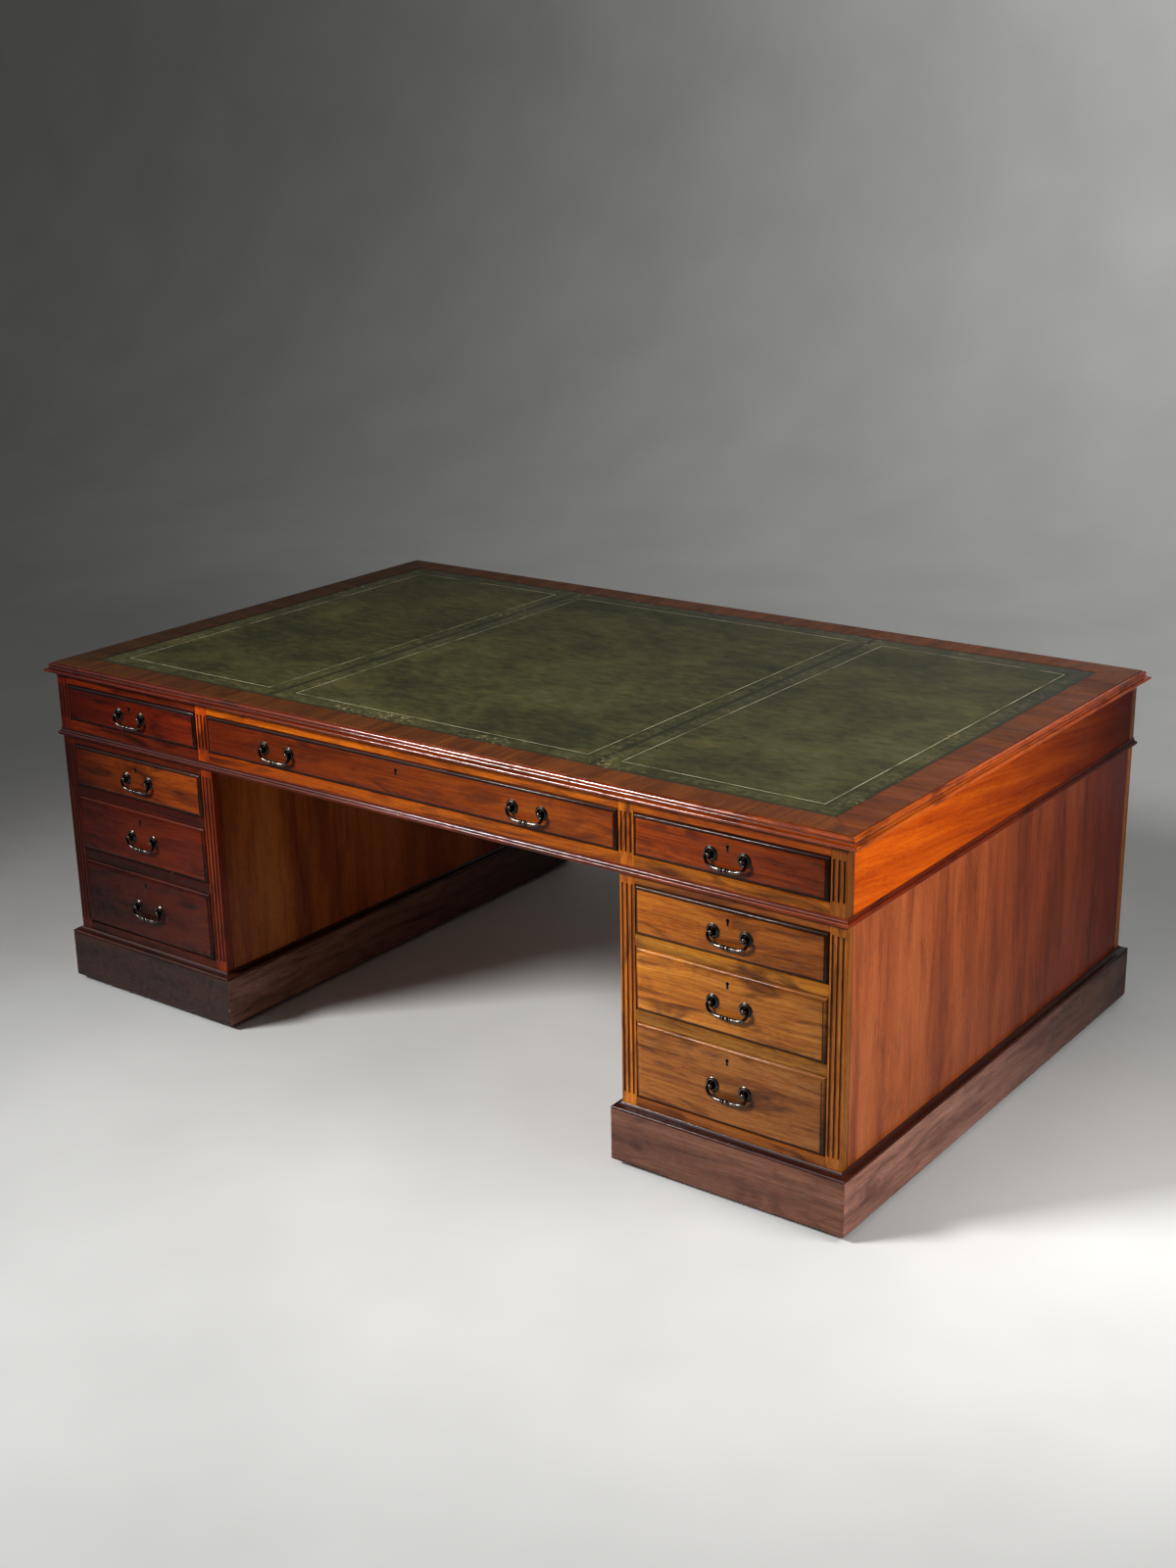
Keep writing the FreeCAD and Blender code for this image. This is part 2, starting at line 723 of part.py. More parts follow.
def make_hinge_half(side, low, fixed):
    """Half a butt hinge. The fixed half has the outer knuckles and holds the pin."""
    axis_x = side * (open_outer - door_hinge_gap / 2)
    axis_y = half_pedestal + hinge_knuckle_radius + hinge_off_face
    high = low + hinge_height
    third = hinge_height / 3
    if fixed:
        knuckles = ((low, low + third), (high - third, high))
        leaf_x = side * open_outer
        leaf_end = leaf_x - side * hinge_leaf
    else:
        knuckles = ((low + third + running_gap, high - third - running_gap),)
        leaf_x = side * (open_outer - door_hinge_gap)
        leaf_end = leaf_x + side * hinge_leaf
    half = block(leaf_x, leaf_end, half_pedestal - hinge_leaf_depth, half_pedestal, low, high)
    square = V(1, 0, 0)
    for start, end in knuckles:
        barrel = straight_rod(V(axis_x, axis_y, start), V(axis_x, axis_y, end), hinge_knuckle_radius, square)
        half = half.fuse([barrel, block(leaf_x, leaf_end, half_pedestal, axis_y, start, end)])
    bore = turning_hole(hinge_pin_radius)
    half = half.cut(straight_rod(V(axis_x, axis_y, low), V(axis_x, axis_y, high), bore, square))
    half = half.removeSplitter()
    if not fixed:
        return [half]
    return [half, straight_rod(V(axis_x, axis_y, low), V(axis_x, axis_y, high), hinge_pin_radius, square)]


def make_hinge_leaves():
    halves = []
    for side in (-1, 1):
        for low in hinge_places():
            halves += make_hinge_half(side, low, True)
    return halves


def make_door(side):
    """Framed and panelled cupboard door, with its lock and the moving halves of its hinges."""
    hinge_edge = open_outer - door_hinge_gap
    free_edge = open_inner + side_gap
    face = half_pedestal
    back = face - door_thickness
    low = pedestal_open_bottom + top_gap
    high = pedestal_open_top - top_gap
    panel_left = free_edge + door_stile
    panel_right = hinge_edge - door_stile
    panel_low = low + door_bottom_rail
    panel_high = high - door_stile

    def across(left, right, y0, y1, z0, z1):
        return block(side * left, side * right, y0, y1, z0, z1)

    panel_back = (face + back - door_panel_thickness) / 2
    panel = across(panel_left - groove_depth, panel_right + groove_depth,
                   panel_back, panel_back + door_panel_thickness,
                   panel_low - groove_depth, panel_high + groove_depth)
    # an ovolo runs round the inner edges of the frame, cut as a mitred frame laid on its side
    crest = (door_ovolo, 0.0)
    spring = (0.0, -door_ovolo)
    ovolo = [(0.0, 0.0), crest, bowed(crest, spring, -door_ovolo * quarter_round_rise)]
    cutters = mitred_frame((panel_right - panel_left) / 2, (panel_high - panel_low) / 2, 0, ovolo, door_ovolo)
    for cutter in cutters:
        cutter.rotate(V(0, 0, 0), V(1, 0, 0), -90)
        cutter.translate(V(side * (panel_left + panel_right) / 2, face, (panel_low + panel_high) / 2))
    frame = [across(free_edge, panel_left, back, face, low, high),
             across(panel_right, hinge_edge, back, face, low, high),
             across(panel_left, panel_right, back, face, low, panel_low),
             across(panel_left, panel_right, back, face, panel_high, high)]
    frame = [board.cut([panel] + cutters) for board in frame]

    # the lock is let into the closing stile from behind
    key_z = (low + high) / 2
    lock = across(free_edge, free_edge + lock_width, back, back + lock_depth,
                  key_z - lock_height / 2, key_z + lock_height / 2)
    frame[0], escutcheon = lock_in(frame[0], lock, side * (free_edge + lock_width / 2), key_z,
                                   face, back + lock_depth)
    leaves = []
    for hinge_low in hinge_places():
        leaves += make_hinge_half(side, hinge_low, False)
    return frame + [panel, lock, escutcheon] + leaves


# ---------------------------------------------------------------- castors
def castor_places():
    """Name and swivel axis of each castor, under the corner blocks of the plinths."""
    from_middle_x, from_middle_y = (half - plinth_board_thickness - castor_from_board
                                    for half in plinth_rectangle())
    centre = kneehole + pedestal_width / 2
    places = []
    for side, side_name in ((-1, "left"), (1, "right")):
        for end, end_name in ((-1, "front"), (1, "back")):
            for across, across_name in ((-1, "inner"), (1, "outer")):
                name = "_".join((side_name, end_name, across_name))
                places.append((name, side * (centre + across * from_middle_x), end * from_middle_y, end))
    return places


def make_castor_plates():
    """Top plates under the corner blocks, each with its riveted swivel pin."""
    plates = []
    half = castor_plate / 2
    low = castor_height - castor_plate_thickness
    head_top = low - castor_plate_thickness - 2 * running_gap
    for _, x, y, _ in castor_places():
        plate = block(x - half, x + half, y - half, y + half, low, castor_height)
        stages = ((low, castor_pin_radius), (head_top, castor_pin_radius),
                  (head_top, castor_boss_radius), (head_top - castor_pin_head, castor_boss_radius))
        plates.append(plate.fuse(faceted_rod([(V(x, y, z), radius) for z, radius in stages], V(1, 0, 0))))
    return plates


def make_fork(x, y, end):
    """Crown, two arms and axle of a castor, riveted up solid. The wheel trails to the middle."""
    high = castor_height - castor_plate_thickness - running_gap
    low = high - castor_plate_thickness
    half = castor_crown / 2
    trail = -end * castor_trail
    inner = castor_wheel_width / 2 + castor_wheel_gap
    outer = inner + castor_arm_thickness
    boss = castor_boss_radius
    pieces = []
    for turn in (-1, 1):
        path = [(-castor_arm_width / 2, high), (castor_arm_width / 2, high),
                (trail + boss, castor_wheel_radius), (trail + boss / 2, castor_wheel_radius - boss),
                (trail - boss / 2, castor_wheel_radius - boss), (trail - boss, castor_wheel_radius)]
        arm = outline(path, lambda a, z: V(x + turn * inner, y + a, z))
        pieces.append(arm.extrude(V(turn * castor_arm_thickness, 0, 0)))
    axle_y = y + trail
    pieces.append(straight_rod(V(x - outer, axle_y, castor_wheel_radius),
                               V(x + outer, axle_y, castor_wheel_radius), castor_axle_radius, V(0, 0, 1)))
    crown = block(x - half, x + half, y - half, y + half, low, high)
    fork = crown.fuse(pieces).removeSplitter()
    bore = turning_hole(castor_pin_radius)
    return [fork.cut(straight_rod(V(x, y, low), V(x, y, high), bore, V(1, 0, 0)))]


def make_wheel(x, y, end):
    half = V(castor_wheel_width / 2, 0, 0)
    centre = V(x, y - end * castor_trail, castor_wheel_radius)
    upright = V(0, 0, 1)
    rim = [(centre - half, castor_wheel_radius), (centre + half, castor_wheel_radius)]
    bore = straight_rod(centre - half, centre + half, turning_hole(castor_axle_radius), upright)
    return [faceted_rod(rim, upright, castor_wheel_sides, 0).cut(bore)]


# ---------------------------------------------------------------- all nodes
def make_nodes():
    nodes = {
        "top_board": make_top_board(),
        "crossbanding": make_crossbanding(),
        "leather_panels": make_leather(),
        "top_edge_moulding": make_top_edge(),
        "frieze_frames": make_frieze_frames(),
        "frieze_ends": make_frieze_ends(),
        "frieze_partitions": make_frieze_partitions(),
        "frieze_bead": make_bead(),
        "hinge_leaves": make_hinge_leaves(),
        "castor_plates": make_castor_plates()}
    for side, side_name in ((-1, "left"), (1, "right")):
        nodes[side_name + "_pedestal_frames"] = make_pedestal_frames(side)
        nodes[side_name + "_pedestal_carcass"] = make_pedestal_carcass(side)
        nodes[side_name + "_plinth"] = make_plinth(side)
        nodes[side_name + "_cupboard_door"] = make_door(side)
        nodes.update(make_pedestal_drawers(side, side_name))
    nodes.update(make_frieze_drawers())
    for name, x, y, end in castor_places():
        nodes["castor_fork_" + name] = make_fork(x, y, end)
        nodes["castor_wheel_" + name] = make_wheel(x, y, end)
    return nodes


os.makedirs("parts", exist_ok=True)
for node_name, node_solids in make_nodes().items():
    Part.makeCompound(node_solids).exportStep("parts/" + node_name + ".step")
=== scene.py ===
import math
import random

import bmesh
import bpy
from mathutils import Matrix, Vector


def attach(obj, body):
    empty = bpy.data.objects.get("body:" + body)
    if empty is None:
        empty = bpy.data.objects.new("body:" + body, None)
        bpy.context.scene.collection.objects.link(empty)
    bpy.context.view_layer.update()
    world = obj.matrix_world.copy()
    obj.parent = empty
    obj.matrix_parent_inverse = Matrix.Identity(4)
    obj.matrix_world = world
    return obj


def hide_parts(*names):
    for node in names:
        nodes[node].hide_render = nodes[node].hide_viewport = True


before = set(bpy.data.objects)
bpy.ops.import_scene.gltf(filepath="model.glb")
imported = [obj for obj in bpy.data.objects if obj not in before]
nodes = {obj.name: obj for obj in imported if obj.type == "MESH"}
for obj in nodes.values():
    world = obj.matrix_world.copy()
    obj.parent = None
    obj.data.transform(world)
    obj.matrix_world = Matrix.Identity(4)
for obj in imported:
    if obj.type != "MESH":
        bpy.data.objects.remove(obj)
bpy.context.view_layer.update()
random.seed(1904)
mm = 0.001

# the parts that share a size; y and z are met again in most of the pieces below
desk = {
    "halfLength": 1027 * mm, "halfFrieze": 627 * mm, "halfPedestal": 625 * mm, "kneehole": 543 * mm,
    "stile": 34 * mm, "frame": 22 * mm, "top": 780 * mm, "boardTop": 778 * mm,
    "friezeTop": 758 * mm, "friezeLow": 609 * mm, "friezeOpen": (649 * mm, 735 * mm),
    "pedestalLow": 121 * mm, "pedestalOpen": (153 * mm, 593 * mm), "castor": 52 * mm, "wall": 18 * mm}
openInner = desk["kneehole"] + desk["stile"]
openOuter = desk["halfLength"] - desk["stile"]
openCentre = (openInner + openOuter) / 2
openWidth = openOuter - openInner
axes = {"x": (0, 2, 1), "y": (1, 2, 0), "z": (2, 0, 1)}    # along, across and through the grain


# ---- colours and nodes
def linear(hexColour):
    parts = [int(hexColour[i:i + 2], 16) / 255 for i in (1, 3, 5)]
    return [c / 12.92 if c <= 0.04045 else ((c + 0.055) / 1.055) ** 2.4 for c in parts] + [1.0]


def addNode(tree, kind, settings=None, links=None):
    node = tree.nodes.new("ShaderNode" + kind)
    for key, value in (settings or {}).items():
        if key == "stops":
            ramp = node.color_ramp
            ramp.elements[0].position, ramp.elements[-1].position = value[0][0], value[-1][0]
            for place, _ in value[1:-1]:
                ramp.elements.new(place)
            for element, (_, colour) in zip(ramp.elements, value):
                element.color = linear(colour) if isinstance(colour, str) else [colour] * 3 + [1.0]
        elif isinstance(key, str) and hasattr(node, key):
            setattr(node, key, value)
        else:
            node.inputs[key].default_value = value
    for socket, source in (links or {}).items():
        tree.links.new(source, node.inputs[socket])
    return node


def newMaterial(name):
    material = bpy.data.materials.new(name)
    material.use_nodes = True
    material.node_tree.nodes.clear()
    return material, material.node_tree


# one step of arithmetic on numbers and sockets
def calc(tree, operation, *values):
    given = {index: value for index, value in enumerate(values) if isinstance(value, (int, float))}
    linked = {index: value for index, value in enumerate(values) if index not in given}
    return addNode(tree, "Math", {"operation": operation, **given}, linked).outputs[0]


def ranged(tree, value, low, high, most, least=0.0):
    return addNode(tree, "MapRange", {"From Min": low, "From Max": high, "To Min": least, "To Max": most},
                   {"Value": value}).outputs[0]


# lays one colour over another by an amount
def lay(tree, under, over, amount, blend="MIX"):
    return addNode(tree, "Mix", {"data_type": "RGBA", "blend_type": blend, 7: linear(over)},
                   {0: amount, 6: under}).outputs[2]


# Mahogany, planed and French polished: a thin hard film of shellac over open-grained red wood.
# The film gives a sharp sheen over a dull one; the wood shows soft ribbons a few centimetres wide,
# smoky patches, fine streaks along the grain and short dark pores. Pores are a fifth of a
# millimetre wide in the wood, and are drawn as wide as a millimetre so that they show.
def makeWood(name, look, run=None):
    material, tree = newMaterial(name)

    def stretched(source, along, across):
        return addNode(tree, "VectorMath", {"operation": "MULTIPLY", 1: (along, across, across)},
                       {0: source})

    if run:
        parts = addNode(tree, "SeparateXYZ", {}, {0: addNode(tree, "TexCoord").outputs["Object"]})
        grain = addNode(tree, "CombineXYZ", {},
                        {socket: parts.outputs[axis] for socket, axis in enumerate(axes[run])})
        start = grain.outputs[0]
    else:
        start = addNode(tree, "Attribute", {"attribute_name": "grain"}).outputs["Vector"]
    wear = addNode(tree, "Attribute", {"attribute_name": "wear"}).outputs["Fac"]

    wander = addNode(tree, "TexNoise", {"Scale": 1.0, "Detail": 2.0},
                     {"Vector": stretched(start, 1.6, 5).outputs[0]})
    centred = addNode(tree, "VectorMath", {"operation": "SUBTRACT", 1: (0.5, 0.5, 0.5)},
                      {0: wander.outputs["Color"]})
    sway = look["sway"]
    swayed = addNode(tree, "VectorMath", {"operation": "MULTIPLY", 1: (0, sway, sway)},
                     {0: centred.outputs[0]})
    bent = addNode(tree, "VectorMath", {"operation": "ADD"}, {0: start, 1: swayed.outputs[0]})

    def noise(along, across, detail, twist=0.0):
        return addNode(tree, "TexNoise",
                       {"Scale": 1.0, "Detail": detail, "Roughness": 0.6, "Distortion": twist},
                       {"Vector": stretched(bent.outputs[0], along, across).outputs[0]}).outputs["Fac"]

    ribbon = noise(*look["ribbonAt"], 3, 0.2)
    streak = noise(4, 210, 3)
    fibre = noise(22, 800, 2)
    smoke = noise(5, 22, 3, 1.2)
    pore = noise(60, 1000, 0)

    weighed = calc(tree, "MULTIPLY", ribbon, look["ribbon"])
    weighed = calc(tree, "MULTIPLY_ADD", streak, look["streak"], weighed)
    weighed = calc(tree, "MULTIPLY_ADD", fibre, look["fibre"], weighed)
    colour = addNode(tree, "ValToRGB", {"stops": look["figure"]}, {0: weighed}).outputs[0]
    # the stain attribute multiplies the figure; it holds the wood's tone and painted light that falls off
    # across the desk
    if not run:
        stain = addNode(tree, "Attribute", {"attribute_name": "stain"}).outputs["Color"]
        colour = addNode(tree, "Mix", {"data_type": "RGBA", "blend_type": "MULTIPLY", 0: 1.0},
                         {6: colour, 7: stain}).outputs[2]

    colour = lay(tree, colour, look["haze"], ranged(tree, smoke, 0.48, 0.7, look["smoke"]), "MULTIPLY")
    pitted = ranged(tree, pore, 0.62, 0.74, look["pore"])
    colour = lay(tree, colour, look["ink"], pitted)

    # polish is rubbed through on the arrises; the veneer joints are dark, and the quirks, flutes, recesses
    # and the drawer fronts' sides and lower edges are darkened with painted shade
    place = addNode(tree, "TexCoord").outputs["Object"]
    rubbing = addNode(tree, "TexNoise", {"Scale": 75.0, "Detail": 5.0, "Roughness": 0.7},
                      {"Vector": place})
    edge = calc(tree, "MULTIPLY_ADD", rubbing.outputs["Fac"], 2.0, wear)
    bare = ranged(tree, edge, 2.3 - look["chips"], 2.42 - look["chips"], look["bare"])
    colour = lay(tree, colour, look["worn"], bare)
    colour = lay(tree, colour, look["jointsAndPaintedShade"], ranged(tree, wear, 0.0, -1.0, 0.97))

    cloud = addNode(tree, "TexNoise", {"Scale": 7.0, "Detail": 4.0}, {"Vector": place})
    least, most = look["rough"]
    rough = ranged(tree, cloud.outputs["Fac"], 0.3, 0.7, most, least)
    # the coat is worn thin in places
    film = ranged(tree, rubbing.outputs["Fac"], 0.36, 0.58, look["coat"], 0.15 * look["coat"])
    relief = calc(tree, "MULTIPLY_ADD", pitted, -1.6, fibre)
    bump = addNode(tree, "Bump", {"Strength": look["bump"], "Distance": 0.0003},
                   {"Height": relief})
    shader = addNode(tree, "BsdfPrincipled",
                     {"IOR": 1.5, "Specular IOR Level": look["specular"], "Coat Roughness": 0.07,
                      "Coat IOR": 1.5},
                     {"Base Color": colour, "Roughness": rough, "Normal": bump.outputs[0],
                      "Coat Weight": film})
    addNode(tree, "OutputMaterial", {}, {0: shader.outputs[0]})
    return material


mahogany = {
    "figure": ((0.34, "#74380f"), (0.45, "#9a5719"), (0.54, "#b36c24"), (0.66, "#cc8a3c")),
    "ink": "#2a0d05", "haze": "#5c382a", "worn": "#c58f68", "jointsAndPaintedShade": "#0a0302",
    "ribbonAt": (1.6, 22), "ribbon": 0.4, "streak": 0.38, "fibre": 0.22, "sway": 0.05, "smoke": 0.85,
    "pore": 0.4,
    "chips": 0.1, "bare": 0.8, "rough": (0.36, 0.5), "specular": 0.08, "coat": 0.2, "bump": 0.2}
mouldWood = dict(mahogany, specular=0.06, coat=0.85)
# the frieze ends' brighter orange figure is painted side light
endWood = dict(mahogany, figure=((0.34, "#963404"), (0.46, "#b24604"), (0.56, "#c45506"), (0.68, "#d87010")),
               ribbonAt=(1.1, 30), ribbon=0.55, streak=0.3, fibre=0.15, smoke=0.25, haze="#a06030",
               specular=0.02, coat=0.1)
panelWood = dict(mahogany,
                 figure=((0.34, "#78391f"), (0.46, "#9e5c3a"), (0.54, "#b66f49"), (0.66, "#cc8c62")),
                 ribbonAt=(0.9, 9), ribbon=0.66, streak=0.22, fibre=0.12, smoke=0.3, sway=0.06)
plinthWood = dict(mahogany, figure=((0.34, "#6c4438"), (0.48, "#92604e"), (0.6, "#ae7a68"), (0.7, "#c49280")),
                  haze="#6a4030", smoke=0.7, chips=0.15, worn="#a87a58", rough=(0.4, 0.55), specular=0.15,
                  coat=0.25)
veneer = dict(mahogany, figure=((0.34, "#3e1d0a"), (0.48, "#562c10"), (0.6, "#673814"), (0.7, "#77451a")),
              smoke=0.45, sway=0.02, rough=(0.4, 0.55), coat=0.2)
lining = dict(mahogany, figure=((0.3, "#6d4526"), (0.45, "#94683f"), (0.6, "#ad8254"), (0.75, "#c19a6c")),
              ink="#4a2c16", smoke=0.3, worn="#c5a27a", jointsAndPaintedShade="#3a2413", rough=(0.6, 0.8), specular=0.5,
              coat=0.0, bump=0.5)

polishedMahogany = makeWood("mahoganyFrenchPolished", mahogany)
mouldedMahogany = makeWood("mahoganyMouldedAndPolished", mouldWood)
paintedSideLightMahogany = makeWood("mahoganyPolishedWithPaintedSideLight", endWood)
panelMahogany = makeWood("mahoganyQuarterSawnAndPolished", panelWood)
darkMahogany = makeWood("mahoganyStainedAndWaxed", plinthWood)
bandedVeneer = makeWood("mahoganyVeneerSawCut", veneer)
drawerLining = makeWood("mahoganyPlanedUnpolished", lining)
innerWood = makeWood("mahoganySawnUnpolished", lining, "y")


# Goatskin skiver, dyed green, glazed and tooled with a hot wheel: soft sheen, fine grain with short
# dark creases, yellower where it is worn, gilt lines that have rubbed away in places, and blind
# lines that are pressed darker. The skin's grain is under a millimetre and is drawn at 2.5 mm.
leatherLook = {
    "skin": ((0.3, "#17170a"), (0.43, "#282710"), (0.54, "#383618"), (0.68, "#4a4524")),
    "crease": "#14150b", "gilt": "#a8a284", "blind": "#12130a", "rubbed": "#56543a", "edge": "#1d1f12",
    "scuff": "#93835f",
    "giltAt": 49.5 * mm, "giltWidth": 0.9 * mm, "linesAt": (43.5 * mm, 33 * mm), "rollAt": (13 * mm, 29 * mm),
    "rollPitch": 4 * mm, "dark": 9 * mm}


def makeLeather():
    material, tree = newMaterial("goatskinDyedAndTooled")
    place = addNode(tree, "TexCoord").outputs["Object"]
    edge = addNode(tree, "Attribute", {"attribute_name": "edge"}).outputs["Fac"]
    drawn = addNode(tree, "VectorMath", {"operation": "MULTIPLY", 1: (0.45, 1.0, 1.0)}, {0: place}).outputs[0]

    def noise(scale, detail, twist=0.0, source=place):
        return addNode(tree, "TexNoise",
                       {"Scale": scale, "Detail": detail, "Roughness": 0.6, "Distortion": twist},
                       {"Vector": source}).outputs["Fac"]

    def times(first, second):
        return calc(tree, "MULTIPLY", first, second)

    def band(centre, half, soft):
        off = calc(tree, "ABSOLUTE", calc(tree, "SUBTRACT", edge, centre))
        return ranged(tree, off, half + soft, half, 1.0)

    broad = calc(tree, "MULTIPLY", noise(4.5, 4, 0.6), 0.55)
    mixed = calc(tree, "MULTIPLY_ADD", noise(60, 6, 0.4, drawn), 0.45, broad)
    colour = addNode(tree, "ValToRGB", {"stops": leatherLook["skin"]}, {0: mixed}).outputs[0]
    crease = noise(80, 4, 2.2, drawn)
    colour = lay(tree, colour, leatherLook["crease"],
                 times(ranged(tree, crease, 0.56, 0.68, 0.6), ranged(tree, noise(9, 3), 0.4, 0.65, 1.0)))
    rollFrom, rollTo = leatherLook["rollAt"]
    roll = band((rollFrom + rollTo) / 2, (rollTo - rollFrom) / 2, 1.5 * mm)
    beads = addNode(tree, "TexVoronoi", {"Scale": 1 / leatherLook["rollPitch"]}, {"Vector": place})
    colour = lay(tree, colour, leatherLook["blind"],
                 times(roll, ranged(tree, beads.outputs["Distance"], 0.3, 0.55, 0.3)))
    colour = lay(tree, colour, leatherLook["rubbed"],
                 times(roll, ranged(tree, noise(55, 4), 0.46, 0.66, 0.4)))
    lines = band(leatherLook["linesAt"][0], 0.6 * mm, 0.6 * mm)
    colour = lay(tree, colour, leatherLook["blind"], times(lines, ranged(tree, noise(30, 3), 0.3, 0.5, 0.9)))
    second = band(leatherLook["linesAt"][1], 0.5 * mm, 0.5 * mm)
    colour = lay(tree, colour, leatherLook["rubbed"],
                 times(second, ranged(tree, noise(24, 3), 0.45, 0.6, 0.6)))
    gilt = band(leatherLook["giltAt"], leatherLook["giltWidth"], 0.5 * mm)
    colour = lay(tree, colour, leatherLook["gilt"],
                 times(gilt, ranged(tree, noise(14, 4), 0.36, 0.58, 0.85, 0.12)))
    colour = lay(tree, colour, leatherLook["edge"],
                 ranged(tree, edge, leatherLook["dark"], 0.6 * leatherLook["dark"], 0.85))
    # rubbed by elbows along the borders
    near = ranged(tree, edge, 75 * mm, 35 * mm, 1.0)
    colour = lay(tree, colour, leatherLook["scuff"],
                 times(near, times(ranged(tree, noise(120, 5), 0.56, 0.66, 0.75),
                                   ranged(tree, noise(5, 2), 0.56, 0.66, 1.0))))

    cells = addNode(tree, "TexVoronoi", {"Scale": 400.0, "feature": "DISTANCE_TO_EDGE"}, {"Vector": place})
    height = calc(tree, "MULTIPLY_ADD", cells.outputs["Distance"], 0.5, crease)
    sunk = calc(tree, "MULTIPLY_ADD", lines, -1.2, height)
    bump = addNode(tree, "Bump", {"Strength": 0.4, "Distance": 0.0006}, {"Height": sunk})
    shader = addNode(tree, "BsdfPrincipled", {"Roughness": 0.5, "IOR": 1.46, "Specular IOR Level": 0.28},
                     {"Base Color": colour, "Normal": bump.outputs[0]})
    addNode(tree, "OutputMaterial", {}, {0: shader.outputs[0]})
    return material


# Cast brass, chased, then darkened by a century of handling: brown black in the hollows, with
# bare metal on the rubbed high places.
brassLook = {"patina": "#080605", "metal": "#1b1612", "bright": "#57504a"}


def makeBrass(name, look, rough):
    material, tree = newMaterial(name)
    place = addNode(tree, "TexCoord").outputs["Object"]
    patches = addNode(tree, "TexNoise", {"Scale": 180.0, "Detail": 4.0}, {"Vector": place}).outputs["Fac"]
    fine = addNode(tree, "TexNoise", {"Scale": 900.0, "Detail": 2.0}, {"Vector": place}).outputs["Fac"]
    wear = addNode(tree, "Attribute", {"attribute_name": "wear"}).outputs["Fac"]
    high = calc(tree, "MULTIPLY_ADD", wear, 0.6, patches)
    colour = addNode(tree, "ValToRGB",
                     {"stops": ((0.38, look["patina"]), (0.62, look["metal"]), (1.0, look["bright"]))},
                     {0: high})
    roughness = ranged(tree, high, 0.3, 1.0, rough[0], rough[1])
    bump = addNode(tree, "Bump", {"Strength": 0.2, "Distance": 0.0002}, {"Height": fine})
    shader = addNode(tree, "BsdfPrincipled", {"Metallic": 1.0},
                     {"Base Color": colour.outputs[0], "Roughness": roughness,
                      "Normal": bump.outputs[0]})
    addNode(tree, "OutputMaterial", {}, {0: shader.outputs[0]})
    return material


greenLeather = makeLeather()
agedBrass = makeBrass("brassCastAndPatinated", brassLook, (0.27, 0.45))
lockBrass = makeBrass("brassRolledAndTarnished",
                      {"patina": "#5a4522", "metal": "#8d7040", "bright": "#b59a63"}, (0.3, 0.5))
castorIron = makeBrass("ironCastAndJapanned",
                       {"patina": "#0d0b0a", "metal": "#1d1916", "bright": "#3a322b"}, (0.35, 0.6))
print("materials made")


# ---- tools for shaping
def deselect():
    if bpy.context.object and bpy.context.object.mode != "OBJECT":
        bpy.ops.object.mode_set(mode="OBJECT")
    bpy.ops.object.select_all(action="DESELECT")


def applied():
    bpy.ops.object.transform_apply(location=True, rotation=True, scale=True)
    return bpy.context.object


def addBox(centre, size):
    deselect()
    bpy.ops.mesh.primitive_cube_add(size=1, location=centre, scale=size)
    return applied()


def activate(*objects):
    deselect()
    for obj in objects:
        obj.select_set(True)
    bpy.context.view_layer.objects.active = objects[0]


def edit(obj, kind="VERT", action="DESELECT"):
    activate(obj)
    bpy.ops.object.mode_set(mode="EDIT")
    bpy.ops.mesh.select_mode(type=kind)
    bpy.ops.mesh.select_all(action=action)


def pick(obj, parts, test):
    bpy.ops.mesh.select_all(action="DESELECT")
    cage = bmesh.from_edit_mesh(obj.data)
    for part in getattr(cage, parts):
        if test(part):
            part.select_set(True)
    bmesh.update_edit_mesh(obj.data)


def leave():
    bpy.ops.object.mode_set(mode="OBJECT")


def closeUp(obj):
    edit(obj, "VERT", "SELECT")
    bpy.ops.mesh.remove_doubles(threshold=0.002 * mm)
    bpy.ops.mesh.normals_make_consistent(inside=False)
    leave()


def joined(objects):
    activate(*objects)
    if len(objects) > 1:
        bpy.ops.object.join()
    return bpy.context.object


def copied(obj, offset=(0, 0, 0), turn=0.0):
    twin = obj.copy()
    twin.data = obj.data.copy()
    bpy.context.scene.collection.objects.link(twin)
    twin.data.transform(Matrix.Translation(offset) @ Matrix.Rotation(turn, 4, "Z"))
    return twin


def cut(obj, cutter):
    modifier = obj.modifiers.new("cut", "BOOLEAN")
    modifier.operation = "DIFFERENCE"
    modifier.solver = "EXACT"
    modifier.object = cutter
    activate(obj)
    bpy.ops.object.modifier_apply(modifier="cut")
    bpy.data.objects.remove(cutter)


def arc(start, end, rise, count):
    # points of an arc from start to end, without start; rise is how far its middle stands to the left
    chord = Vector(end) - Vector(start)
    half = chord.length / 2
    radius = (half * half + rise * rise) / (2 * abs(rise))
    side = math.copysign(1, rise)
    left = Vector((-chord.y, chord.x)).normalized() * side
    centre = (Vector(start) + Vector(end)) / 2 + left * (abs(rise) - radius)
    first = Vector(start) - centre
    sweep = 2 * math.asin(min(1, half / radius))
    if abs(rise) > half:
        sweep = 2 * math.pi - sweep
    points = []
    for step in range(1, count + 1):
        angle = -side * sweep * step / count
        points.append(tuple(centre + Matrix.Rotation(angle, 2) @ first))
    return points


# a tint that runs from one colour to the other along an axis: the wood's uneven tone together with painted
# light that falls off across the desk
def toneAndLightRamp(axis, low, high, first, last):
    start, end = linear(first), linear(last)

    def tint(spot, face):
        share = min(1.0, max(0.0, (spot[axis] - low) / (high - low)))
        return [(1 - share) * a + share * b for a, b in zip(start, end)]
    return tint
